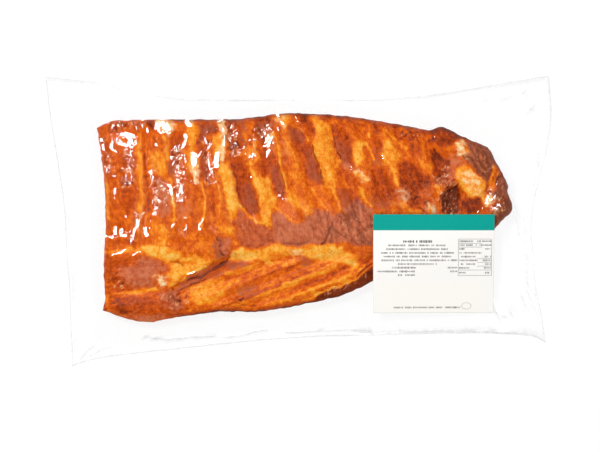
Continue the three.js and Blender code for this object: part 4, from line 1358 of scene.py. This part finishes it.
def clouds(tree, vector, scale, detail, roughness=0.5, output="Fac"):
    inputs = {"Vector": vector, "Scale": scale, "Detail": detail, "Roughness": roughness}
    return node(tree, "ShaderNodeTexNoise", inputs).outputs[output]


def bumps(tree, height, strength, distance, inputs=None):
    inputs = {"Height": height, "Strength": strength, "Distance": distance * mm, **(inputs or {})}
    return node(tree, "ShaderNodeBump", inputs).outputs[0]


def useGroup(tree, group, inputs):
    return node(tree, "ShaderNodeGroup", inputs, node_tree=group).outputs[0]


def newMaterial(name):
    made = bpy.data.materials.new(name)
    made.use_nodes = True
    made.node_tree.nodes.clear()
    return made, made.node_tree


def coat(tree, shader):
    node(tree, "ShaderNodeOutputMaterial", {"Surface": shader.outputs[0]})


def newGroup(treeKind, name, inputs, output, outputKind):  # inputs: a kind of socket, or the default number
    made = bpy.data.node_groups.new(name, treeKind)
    sockets = {}
    for socketName, value in inputs.items():
        kind = value if isinstance(value, str) else type(value).__name__.capitalize()
        sockets[socketName] = made.interface.new_socket(
            name=socketName, in_out="INPUT", socket_type="NodeSocket" + kind)
        if not isinstance(value, str):
            sockets[socketName].default_value = value
    made.interface.new_socket(name=output, in_out="OUTPUT", socket_type="NodeSocket" + outputKind)
    return made, sockets, made.nodes.new("NodeGroupInput").outputs, made.nodes.new("NodeGroupOutput").inputs[0]


def shaderGroup(name, output, inputs):
    group, _, given, end = newGroup("ShaderNodeTree", name, inputs, output, "Float")
    return group, given, end


def makeMottle():  # soft blotches: a noise cut to the range between Low and High
    group, given, end = shaderGroup(
        "mottle", "Value", {"Vector": "Vector", "Scale": 100.0, "Detail": 3.0, "Low": 0.35, "High": 0.65})
    cloud = clouds(group, given["Vector"], given["Scale"], given["Detail"], 0.55)
    group.links.new(rangeOf(group, cloud, given["Low"], given["High"]), end)
    return group


def makeFray():  # lets a texture eat into a mask where the mask is neither full nor empty
    group, given, end = shaderGroup("frayedMask", "Mask", {"Mask": 0.0, "Texture": 0.5, "Amount": 0.5})
    mask = given["Mask"]
    middle = times(group, mask, minus(group, 1.0, mask), 4.0)
    change = times(group, swing(group, given["Texture"], given["Amount"]), middle)
    total = node(group, "ShaderNodeMath", {0: change, 1: mask}, operation="ADD", use_clamp=True)
    group.links.new(total.outputs[0], end)
    return group


def makeVein():  # thin winding lines where a noise crosses its middle
    group, given, end = shaderGroup(
        "veins", "Value", {"Vector": "Vector", "Scale": 100.0, "Detail": 3.0, "Width": 0.04})
    cloud = clouds(group, given["Vector"], given["Scale"], given["Detail"])
    middle = minus(group, cloud, 0.5)
    off = node(group, "ShaderNodeMath", {0: middle}, operation="ABSOLUTE").outputs[0]
    group.links.new(rangeOf(group, off, given["Width"], 0.0), end)
    return group


mottle = makeMottle()
fray = makeFray()
vein = makeVein()

meatRamp = [  # from thick dark marinade on lean meat to bare fat; painted shade also pulls the meat towards the dark end
    (0.0, seen(112, 38, 8)),
    (0.12, seen(152, 54, 8)),
    (0.26, seen(190, 72, 6)),
    (0.42, seen(220, 90, 8)),
    (0.55, seen(239, 114, 14)),
    (0.68, seen(249, 140, 24)),
    (0.8, seen(255, 166, 42)),
    (0.92, seen(255, 190, 74)),
    (1.0, seen(255, 202, 108)),
]
ribColours = {
    "purple": seen(184, 98, 68),
    "purpleDeep": seen(156, 70, 44),
    "brown": seen(208, 118, 84),
    "brownDeep": seen(172, 82, 50),
    "brownEnd": seen(168, 92, 62),
    "brownEndDeep": seen(126, 62, 40),
    # Pink and pale also colour the painted film reflections and the pale glint specks.
    "pink": seen(214, 118, 78),
    "pale": seen(255, 224, 172),
    "paleDeep": seen(252, 172, 92),
    # Dark and darkDeep colour the painted shade of hollows, cuts, creases and the rim, and a few dark marks of
    # the meat.
    "dark": seen(120, 48, 18),
    "darkDeep": seen(82, 32, 12),
}
meatForm = {
    "fibreScale": (0.34, 0.1, 0.0), "hairScale": (1.7, 0.4, 0.0),  # per mm across and along the grain
    "fibre": 0.62, "blotch": 0.1, "cloud": 0.22, "grit": 0.12, "hair": 0.36,  # how far each swings the marinade
    # The bright lines are painted sheen along the grain.
    "darkVeins": -0.2, "paintedSheenLines": 0.16,
    "farEnd": (0.105, 0.15),  # metres along X: muscle beyond it is duller
    # The dark cover is how far the painted shade of hollows, cuts and the rim hides the meat's colour.
    "darkCover": 0.9,
    "bump": (0.55, 0.4), "gloss": 0.38, "glossSwing": 0.16,
}


def ribMaterial():
    made, tree = newMaterial("marinatedPork")
    place = objectPlace(tree)
    grain = attribute(tree, "grain")
    stretch = node(tree, "ShaderNodeMapping", {"Vector": grain, "Scale": meatForm["fibreScale"]}).outputs[0]
    fine = node(tree, "ShaderNodeMapping", {"Vector": grain, "Scale": meatForm["hairScale"]}).outputs[0]
    fibre = clouds(tree, stretch, 1.0, 5.0, 0.66)
    hair = clouds(tree, fine, 1.0, 3.0)
    blotch = useGroup(tree, mottle, {"Vector": place, "Scale": 90.0, "Low": 0.36, "High": 0.66})
    cloud = useGroup(tree, mottle, {"Vector": place, "Scale": 260.0, "Low": 0.3, "High": 0.7})
    grit = useGroup(tree, mottle, {"Vector": place, "Scale": 900.0, "Low": 0.25, "High": 0.75})
    rich, purple, pale = split(tree, attribute(tree, "tone"))
    dark, brown, pink = split(tree, attribute(tree, "depth"))

    def frayed(mask, amount, texture=cloud):
        return useGroup(tree, fray, {"Mask": mask, "Texture": texture, "Amount": amount})

    darkVein = useGroup(tree, vein, {"Vector": stretch, "Scale": 1.9, "Width": 0.035, "Detail": 3.0})
    # Thin bright lines of painted sheen along the grain.
    paintedSheenLine = useGroup(tree, vein, {"Vector": fine, "Scale": 0.8, "Width": 0.03, "Detail": 2.0})
    textures = {"fibre": fibre, "blotch": blotch, "cloud": cloud, "grit": grit, "hair": hair}
    for name, texture in textures.items():
        rich = plus(tree, rich, swing(tree, texture, meatForm[name]))
    rich = plus(tree, rich, times(tree, darkVein, blotch, meatForm["darkVeins"]),
                times(tree, paintedSheenLine, meatForm["paintedSheenLines"]))
    ramp = node(tree, "ShaderNodeValToRGB", {"Fac": rich})
    stops = ramp.color_ramp.elements
    while len(stops) < len(meatRamp):
        stops.new(0.5)
    for stop, (position, stopColour) in zip(stops, meatRamp):
        stop.position = position
        stop.color = stopColour

    c = ribColours
    colour = ramp.outputs[0]
    purple = times(tree, frayed(purple, 0.9), rangeOf(tree, blotch, 0.0, 1.0, 0.7, 0.95))
    colour = blendColour(tree, purple, colour, blendColour(tree, fibre, c["purpleDeep"], c["purple"]))
    farEnd = rangeOf(tree, split(tree, place)[0], *meatForm["farEnd"])
    patchy = rangeOf(tree, plus(tree, fibre, swing(tree, cloud, 0.2)), 0.3, 0.62)
    muscle = blendColour(tree, patchy, c["brownDeep"], c["brown"])
    muscleEnd = blendColour(tree, patchy, c["brownEndDeep"], c["brownEnd"])
    colour = blendColour(tree, frayed(brown, 0.7, fibre), colour, blendColour(tree, farEnd, muscle, muscleEnd))
    # Pink and pale also paint the film's reflections and dim glint specks into the meat.
    colour = blendColour(tree, frayed(pink, 1.0), colour, c["pink"])
    colour = blendColour(tree, frayed(pale, 1.0), colour, blendColour(tree, cloud, c["paleDeep"], c["pale"]))
    # Painted shade: hollows, cuts, creases and the rim darken the colour.
    dark = times(tree, frayed(dark, 0.9, fibre), meatForm["darkCover"])
    colour = blendColour(tree, dark, colour, blendColour(tree, grit, c["darkDeep"], c["dark"]))

    height = plus(tree, times(tree, hair, 0.6), times(tree, grit, 0.25))
    gloss = plus(tree, meatForm["gloss"], times(tree, cloud, meatForm["glossSwing"]))
    coat(tree, node(tree, "ShaderNodeBsdfPrincipled", {
        "Base Color": colour, "Roughness": gloss, "Specular IOR Level": 0.09,
        "Normal": bumps(tree, height, *meatForm["bump"])}))
    return made


filmGloss = {
    "facing": (0.4, 0.62),  # the blister mask, from not turned to the key light to wholly turned
    "looseRipple": 0.3, "stillness": 0.9,
    "rough": (0.42, 0.07), "smoothest": 0.7,
    "looseAir": 0.5, "tightShine": 0.16,  # film that clings wet shines less
    "rimShine": 0.2, "rimFade": (8.0, 26.0),
    "airGap": 1.9, "airFade": (0.2, 0.9),  # a blister mirrors on both of its sides
    "haze": 0.4, "hazeFray": 0.8,
    "index": 1.5, "tint": (0.92, 0.92, 0.93, 1),
}


def filmMaterial():
    made, tree = newMaterial("clearFilm")
    place = objectPlace(tree)
    loose, crease, inward = split(tree, attribute(tree, "film"))
    blister, margin, over = split(tree, attribute(tree, "crumple"))
    facing = rangeOf(tree, blister, *filmGloss["facing"])
    ripple = clouds(tree, place, 260.0, 3.0)
    swells = clouds(tree, place, 430.0, 1.0, output="Color")
    ex, ey, slope = towardsKey()
    spread = filmForm["blisterSpread"]
    towards = node(tree, "ShaderNodeVectorMath", {
        0: swells, 1: (spread, spread, 0.0), 2: (ex * slope - spread / 2, ey * slope - spread / 2, 1.0)},
        operation="MULTIPLY_ADD").outputs[0]
    own = node(tree, "ShaderNodeNewGeometry").outputs
    leaning = node(tree, "ShaderNodeMix", {0: facing, 4: own["Normal"], 5: towards}, data_type="VECTOR")
    normal = node(tree, "ShaderNodeVectorMath", {0: leaning.outputs[1]}, operation="NORMALIZE").outputs[0]
    still = minus(tree, 1.0, times(tree, facing, filmGloss["stillness"]))
    height = times(tree, ripple, loose, still, filmGloss["looseRipple"])
    bump = bumps(tree, height, 1.0, 1.0, {"Normal": normal})
    even = greatest(tree, loose, facing)
    roughness = rangeOf(tree, even, 0.0, filmGloss["smoothest"], *filmGloss["rough"])
    outer = minus(tree, 1.0, own["Backfacing"])  # a ray that leaves from inside isn't held back
    fresnel = node(tree, "ShaderNodeFresnel", {"IOR": filmGloss["index"], "Normal": bump}).outputs[0]
    airy = greatest(tree, times(tree, loose, filmGloss["looseAir"]), facing)
    tight = minus(tree, over, airy)
    tightShine = rangeOf(tree, tight, 0.0, 1.0, 1.0, filmGloss["tightShine"])
    rimShine = rangeOf(tree, inward, *filmGloss["rimFade"], filmGloss["rimShine"], 1.0)
    rimShine = greatest(tree, rimShine, facing, margin)
    airGap = rangeOf(tree, facing, *filmGloss["airFade"], 1.0, filmGloss["airGap"])
    mirror = times(tree, fresnel, outer, rimShine, tightShine, airGap)
    haze = useGroup(tree, fray, {"Mask": crease, "Texture": ripple, "Amount": filmGloss["hazeFray"]})
    cover = greatest(tree, mirror, times(tree, haze, filmGloss["haze"]))
    clear = node(tree, "ShaderNodeBsdfTransparent").outputs[0]
    glossy = node(tree, "ShaderNodeBsdfPrincipled", {
        "Base Color": filmGloss["tint"], "Metallic": 1.0, "Roughness": roughness, "Normal": bump}).outputs[0]
    coat(tree, node(tree, "ShaderNodeMixShader", {0: cover, 1: clear, 2: glossy}))
    return made


labelColours = {
    "paper": seen(255, 252, 248, paperGain), "paperGrain": seen(254, 251, 246, paperGain),
    "field": seen(255, 252, 243, paperGain),
    "band": seen(4, 172, 158), "bandGrain": seen(6, 162, 150),
}


def labelMaterial():
    made, tree = newMaterial("labelPaper")
    grain = useGroup(tree, mottle, {"Vector": objectPlace(tree), "Scale": 1500.0, "Low": 0.3, "High": 0.7})
    acrossSheet, downSheet, _ = split(tree, attribute(tree, "sheet"))
    (right, top), edge = labelForm["field"], labelForm["fieldEdge"]
    field = times(tree, rangeOf(tree, downSheet, top - edge, top + edge),
                  rangeOf(tree, acrossSheet, right + edge, right - edge), 0.6)
    band = rangeOf(tree, downSheet, labelForm["bandDepth"] + labelForm["bandEdge"],
                   labelForm["bandDepth"] - labelForm["bandEdge"])
    paper = blendColour(tree, grain, labelColours["paper"], labelColours["paperGrain"])
    paper = blendColour(tree, field, paper, labelColours["field"])
    teal = blendColour(tree, grain, labelColours["band"], labelColours["bandGrain"])
    coat(tree, node(tree, "ShaderNodeBsdfPrincipled", {
        "Base Color": blendColour(tree, band, paper, teal), "Roughness": 0.45, "Specular IOR Level": 0.1,
        "Normal": bumps(tree, grain, 0.15, 0.1)}))
    return made


def plainMaterial(name, colour, roughness=0.5, specular=0.2, shade=0.7):  # a colour with a fine grain
    made, tree = newMaterial(name)
    grain = useGroup(tree, mottle, {"Vector": objectPlace(tree), "Scale": 2400.0, "Low": 0.3, "High": 0.7})
    deeper = (*[channel * shade for channel in colour[:3]], 1)
    coat(tree, node(tree, "ShaderNodeBsdfPrincipled", {
        "Base Color": blendColour(tree, grain, colour, deeper), "Roughness": roughness,
        "Specular IOR Level": specular, "Normal": bumps(tree, grain, 0.2, 0.1)}))
    return made


for piece, material in ((rack, ribMaterial()), (film, filmMaterial()), (label, labelMaterial())):
    piece.data.materials.append(material)
print("materials made")


# Small repeated things by Geometry Nodes: grey blocks in rows on the label, and flecks of spice on the meat.

def scatterGroup(name, inputs):
    return newGroup("GeometryNodeTree", name, {"Geometry": "Geometry", **inputs}, "Geometry", "Geometry")


def finishTree(tree, end, instances, material):
    real = node(tree, "GeometryNodeRealizeInstances", {"Geometry": instances})
    coated = node(tree, "GeometryNodeSetMaterial", {"Geometry": real.outputs[0], "Material": material})
    tree.links.new(coated.outputs[0], end)


def applyTree(piece, tree, sockets, values):  # leaves a plain mesh
    modifier = piece.modifiers.new("nodes", "NODES")
    modifier.node_group = tree
    for name, value in values.items():
        modifier[sockets[name].identifier] = value
    evaluated = piece.evaluated_get(bpy.context.evaluated_depsgraph_get())
    made = bpy.data.meshes.new_from_object(evaluated)
    piece.modifiers.clear()
    piece.data = made


def printTree(material):
    tree, sockets, given, end = scatterGroup("printedRows", {
        "Pitch": 0.001, "Letter Height": 0.0015, "Word Gap": 0.15, "Thickness": 0.0001, "Seed": 1})
    rows = node(tree, "GeometryNodeMeshToCurve", {"Mesh": given["Geometry"]}).outputs[0]
    letters = node(tree, "GeometryNodeCurveToPoints", {"Curve": rows, "Length": given["Pitch"]}, mode="LENGTH")
    gap = node(tree, "FunctionNodeRandomValue", {
        "Probability": given["Word Gap"], "Seed": given["Seed"]}, data_type="BOOLEAN")
    kept = node(tree, "GeometryNodeDeleteGeometry", {
        "Geometry": letters.outputs[0], "Selection": gap.outputs[3]}, domain="POINT")
    share = node(tree, "FunctionNodeRandomValue", {
        0: printForm["leastShare"], 1: printForm["mostShare"], "Seed": given["Seed"]}, data_type="FLOAT_VECTOR")
    full = node(tree, "ShaderNodeCombineXYZ", {
        0: given["Pitch"], 1: given["Letter Height"], 2: given["Thickness"]})
    size = node(tree, "ShaderNodeVectorMath", {0: share.outputs[0], 1: full.outputs[0]}, operation="MULTIPLY")
    block = node(tree, "GeometryNodeMeshCube", {"Size": (1.0, 1.0, 1.0)})
    placed = node(tree, "GeometryNodeInstanceOnPoints", {
        "Points": kept.outputs[0], "Instance": block.outputs[0], "Scale": size.outputs[0]})
    finishTree(tree, end, placed.outputs[0], material)
    return tree, sockets


printForm = {
    "thickness": 0.08,
    "leastShare": (0.45, 0.5, 1.0), "mostShare": (0.85, 1.0, 1.0),  # of the pitch, letter height and thickness
    "firstSeed": 5,
    "ruleWidth": 0.3, "rulePoints": 12,
    "ink": seen(142, 136, 134), "title": seen(72, 66, 66),
}
printStyles = {  # pitch, letter height, share of gaps, rows: start, end and depth from the label's upper left
    "title": (1.35, 2.2, 0.1, [(25, 48, 22.4)]),
    "text": (1.15, 1.7, 0.13, [
        (13, 59, 25.6), (11, 61, 28.7), (7, 66, 31.8), (9, 64, 34.8), (5, 69, 37.9), (21, 52, 41), (15, 35, 44),
        (62, 69, 44), (4, 35, 47.1), (63, 69, 47.1), (21, 34, 50.1)]),
    "table": (1.1, 1.7, 0.08, [
        (71.5, 82, 22.2), (86, 97, 22.2), (71.5, 85, 25.4), (88, 97, 25.4), (71.5, 76, 28.5), (93, 96.5, 28.5),
        (71.5, 89, 31.8), (73, 84, 34.9), (92.5, 97, 34.9), (71.5, 86, 38), (91, 97, 38), (73, 84, 41.1),
        (92, 97, 41.1), (71.5, 79, 44.2), (92, 97, 44.2), (71.5, 76, 48.2), (93, 97, 48.2)]),
    "footer": (1.15, 1.7, 0.09, [(17.5, 71.8, 77)]),
}
printRules = [  # the table's frame and its lines, from and to
    (70.4, 20.4, 97.9, 20.4), (97.9, 20.4, 97.9, 50.5), (97.9, 50.5, 70.4, 50.5), (70.4, 50.5, 70.4, 20.4),
    (70.4, 24, 90, 24), (70.4, 27, 90, 27), (86, 36.6, 97.9, 36.6), (86, 39.6, 97.9, 39.6),
    (86, 42.8, 97.9, 42.8), (70.4, 46, 97.9, 46),
]
printOval = {"x": 77.4, "y": 75.8, "halfLength": 3.9, "halfHeight": 2.7, "steps": 28, "width": 0.25}


def labelPoint(fromLeft, down):
    return labelForm["left"] + fromLeft, labelForm["top"] - down


def layOnLabel(made):  # raises a flat mesh to the label's face
    xyz = np.empty(len(made.vertices) * 3)
    made.vertices.foreach_get("co", xyz)
    xyz = xyz.reshape(-1, 3)
    xyz[:, 2] += labelTop(xyz[:, 0] / mm, xyz[:, 1] / mm) * mm
    made.vertices.foreach_set("co", xyz.ravel())
    made.update()


def buildPrint():
    pieces = []
    for seed, (style, (pitch, height, gap, rows)) in enumerate(printStyles.items(), printForm["firstSeed"]):
        host = bpy.data.meshes.new(style + "Rows")
        ends = [labelPoint(side, row[2]) for row in rows for side in row[:2]]
        edges = [(2 * k, 2 * k + 1) for k in range(len(rows))]
        host.from_pydata([(x * mm, y * mm, 0) for x, y in ends], edges, [])
        piece = placePiece(style + "Print", host)
        ink = printForm.get(style, printForm["ink"])
        tree, sockets = printTree(plainMaterial(style + "Ink", ink))
        applyTree(piece, tree, sockets, {
            "Pitch": pitch * mm, "Letter Height": height * mm, "Word Gap": gap,
            "Thickness": printForm["thickness"] * mm, "Seed": seed})
        layOnLabel(piece.data)
        pieces.append(piece)
    return pieces


def buildRules():  # the table's lines and the oval, as flat closed bars
    skin = Skin()
    thick = printForm["thickness"] / 2
    for x0, y0, x1, y1 in printRules:
        t = np.linspace(0, 1, printForm["rulePoints"])
        px, py = labelPoint(mix(x0, x1, t), mix(y0, y1, t))
        run = np.array([px[-1] - px[0], py[-1] - py[0]])
        side = np.array([-run[1], run[0]]) / np.linalg.norm(run) * printForm["ruleWidth"] / 2
        line = asPlan(px, py)
        plan = np.stack([line + side, line - side])
        face = labelTop(plan[..., 0], plan[..., 1])
        upper = skin.add(plan, face + thick)
        lower = skin.add(plan, face - thick)
        skin.cover(upper, facingUp=False)
        skin.cover(lower)
        skin.join(gridRim(lower), gridRim(upper))
    turn = np.linspace(0, 2 * np.pi, printOval["steps"], endpoint=False)
    rings = []
    for side, lift in ((1, thick), (-1, thick), (-1, -thick), (1, -thick)):
        growth = printOval["width"] / 2 * side
        px, py = labelPoint(printOval["x"] + (printOval["halfLength"] + growth) * np.cos(turn),
                            printOval["y"] - (printOval["halfHeight"] + growth) * np.sin(turn))
        rings.append(skin.add(asPlan(px, py), labelTop(px, py) + lift))
    for start, end in zip(rings, rings[1:] + rings[:1]):
        skin.join(end, start)
    return skin.mesh("labelRules", lambda x, y, z: {})


printed = buildPrint()
rules = buildRules()
rules.data.materials.append(plainMaterial("ruleInk", printForm["ink"]))
print("label print:", [len(piece.data.polygons) for piece in [*printed, rules]])

fleckForm = {
    "perSquareMetre": 2600.0, "least": 0.22, "most": 0.5, "thickness": 0.12, "seed": 4, "lengthSeed": 9,
    "flattest": 0.75, "lowest": 12,  # only where the meat faces up this much and lies this high
    "colour": seen(150, 52, 10),
}


def buildFlecks():
    tree, sockets, given, end = scatterGroup("spiceFlecks", {
        "Density": 1000.0, "Least": 0.0003, "Most": 0.0006, "Thickness": 0.0002, "Seed": 1})
    up = split(tree, node(tree, "GeometryNodeInputNormal").outputs[0])[2]
    level = split(tree, node(tree, "GeometryNodeInputPosition").outputs[0])[2]
    flat = node(tree, "FunctionNodeCompare", {0: up, 1: fleckForm["flattest"]}, operation="GREATER_THAN")
    high = node(tree, "FunctionNodeCompare", {0: level, 1: fleckForm["lowest"] * mm}, operation="GREATER_THAN")
    both = node(tree, "FunctionNodeBooleanMath", {0: flat.outputs[0], 1: high.outputs[0]}, operation="AND")
    spread = node(tree, "GeometryNodeDistributePointsOnFaces", {
        "Mesh": given["Geometry"], "Selection": both.outputs[0], "Density": given["Density"],
        "Seed": given["Seed"]})
    wide, long = [node(tree, "FunctionNodeRandomValue", {
        2: given["Least"], 3: given["Most"], "Seed": seed}, data_type="FLOAT").outputs[1]
        for seed in (given["Seed"], fleckForm["lengthSeed"])]
    size = node(tree, "ShaderNodeCombineXYZ", {0: wide, 1: long, 2: given["Thickness"]})
    grain = node(tree, "GeometryNodeMeshIcoSphere", {"Radius": 1.0, "Subdivisions": 2})
    placed = node(tree, "GeometryNodeInstanceOnPoints", {
        "Points": spread.outputs[0], "Instance": grain.outputs[0], "Rotation": spread.outputs["Rotation"],
        "Scale": size.outputs[0]})
    finishTree(tree, end, placed.outputs[0], plainMaterial("spice", fleckForm["colour"]))
    piece = placePiece("spiceFlecks", rack.data.copy())
    applyTree(piece, tree, sockets, {
        "Density": fleckForm["perSquareMetre"], "Least": fleckForm["least"] * mm,
        "Most": fleckForm["most"] * mm, "Thickness": fleckForm["thickness"] * mm, "Seed": fleckForm["seed"]})
    return piece


flecks = buildFlecks()
print("flecks:", len(flecks.data.polygons))


# Studio: a white floor that glows a little, a dark patch overhead, soft lights from the sides.

studio = {
    "floorSize": 8, "floorDrop": 0.0006, "floorShade": 0.14, "floorGlow": 0.87,
    "sky": (0.93, 0.5, 0.1, 0.55),  # heights of the dark patch's edge and of the bright sky, their strengths
    "cameraPlace": (0.0012, -0.0033, 3.0), "frameWidth": 0.498, "sensor": 36, "farthest": 50,
}


def buildFloor():
    half, level = studio["floorSize"] / 2, -studio["floorDrop"]
    made = bpy.data.meshes.new("floor")
    made.from_pydata([(-half, -half, level), (half, -half, level), (half, half, level), (-half, half, level)],
                     [], [(0, 1, 2, 3)])
    material, tree = newMaterial("paleFloor")
    shade = studio["floorShade"]
    matte = node(tree, "ShaderNodeBsdfDiffuse", {"Color": (shade, shade, shade, 1)})
    glow = node(tree, "ShaderNodeEmission", {"Color": (1, 1, 1, 1), "Strength": studio["floorGlow"]})
    coat(tree, node(tree, "ShaderNodeAddShader", {0: matte.outputs[0], 1: glow.outputs[0]}))
    made.materials.append(material)
    piece = placePiece("floor", made)


def softLight(name):
    place, size = lights[name]["place"], lights[name]["size"]
    lamp = bpy.data.lights.new(name, "AREA")
    lamp.shape = "RECTANGLE"
    lamp.size = lamp.size_y = size
    lamp.energy = lights[name]["radiance"] * math.pi * size * size  # radiance is power / (pi * area)
    made = placePiece(name, lamp)
    made.location = place
    made.rotation_euler = (-Vector(place)).to_track_quat("-Z", "Y").to_euler()


def buildWorld():
    world = bpy.data.worlds.new("studio")
    scene.world = world
    world.use_nodes = True
    tree = world.node_tree
    tree.nodes.clear()
    up = split(tree, node(tree, "ShaderNodeTexCoord").outputs["Generated"])[2]
    strength = rangeOf(tree, up, *studio["sky"])
    sky = node(tree, "ShaderNodeBackground", {"Color": (1, 1, 1, 1), "Strength": strength})
    node(tree, "ShaderNodeOutputWorld", {"Surface": sky.outputs[0]})


buildFloor()
buildWorld()
for lightName in lights:
    softLight(lightName)

lens = bpy.data.cameras.new("camera")
lens.sensor_width = studio["sensor"]
lens.lens = studio["sensor"] * studio["cameraPlace"][2] / studio["frameWidth"]
lens.clip_end = studio["farthest"]
camera = placePiece("camera", lens)
camera.location = studio["cameraPlace"]
scene.camera = camera
scene.view_settings.view_transform = "Standard"
print("studio ready")

for piece, replaced, slotName in (
        (rack, "bagged_rack", "ribs"), (flecks, "bagged_rack", "ribs"), (film, "bagged_rack", "film"),
        *[(piece, "label", "label") for piece in (label, rules, *printed)]):
    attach(piece, "root")
    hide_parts(replaced)
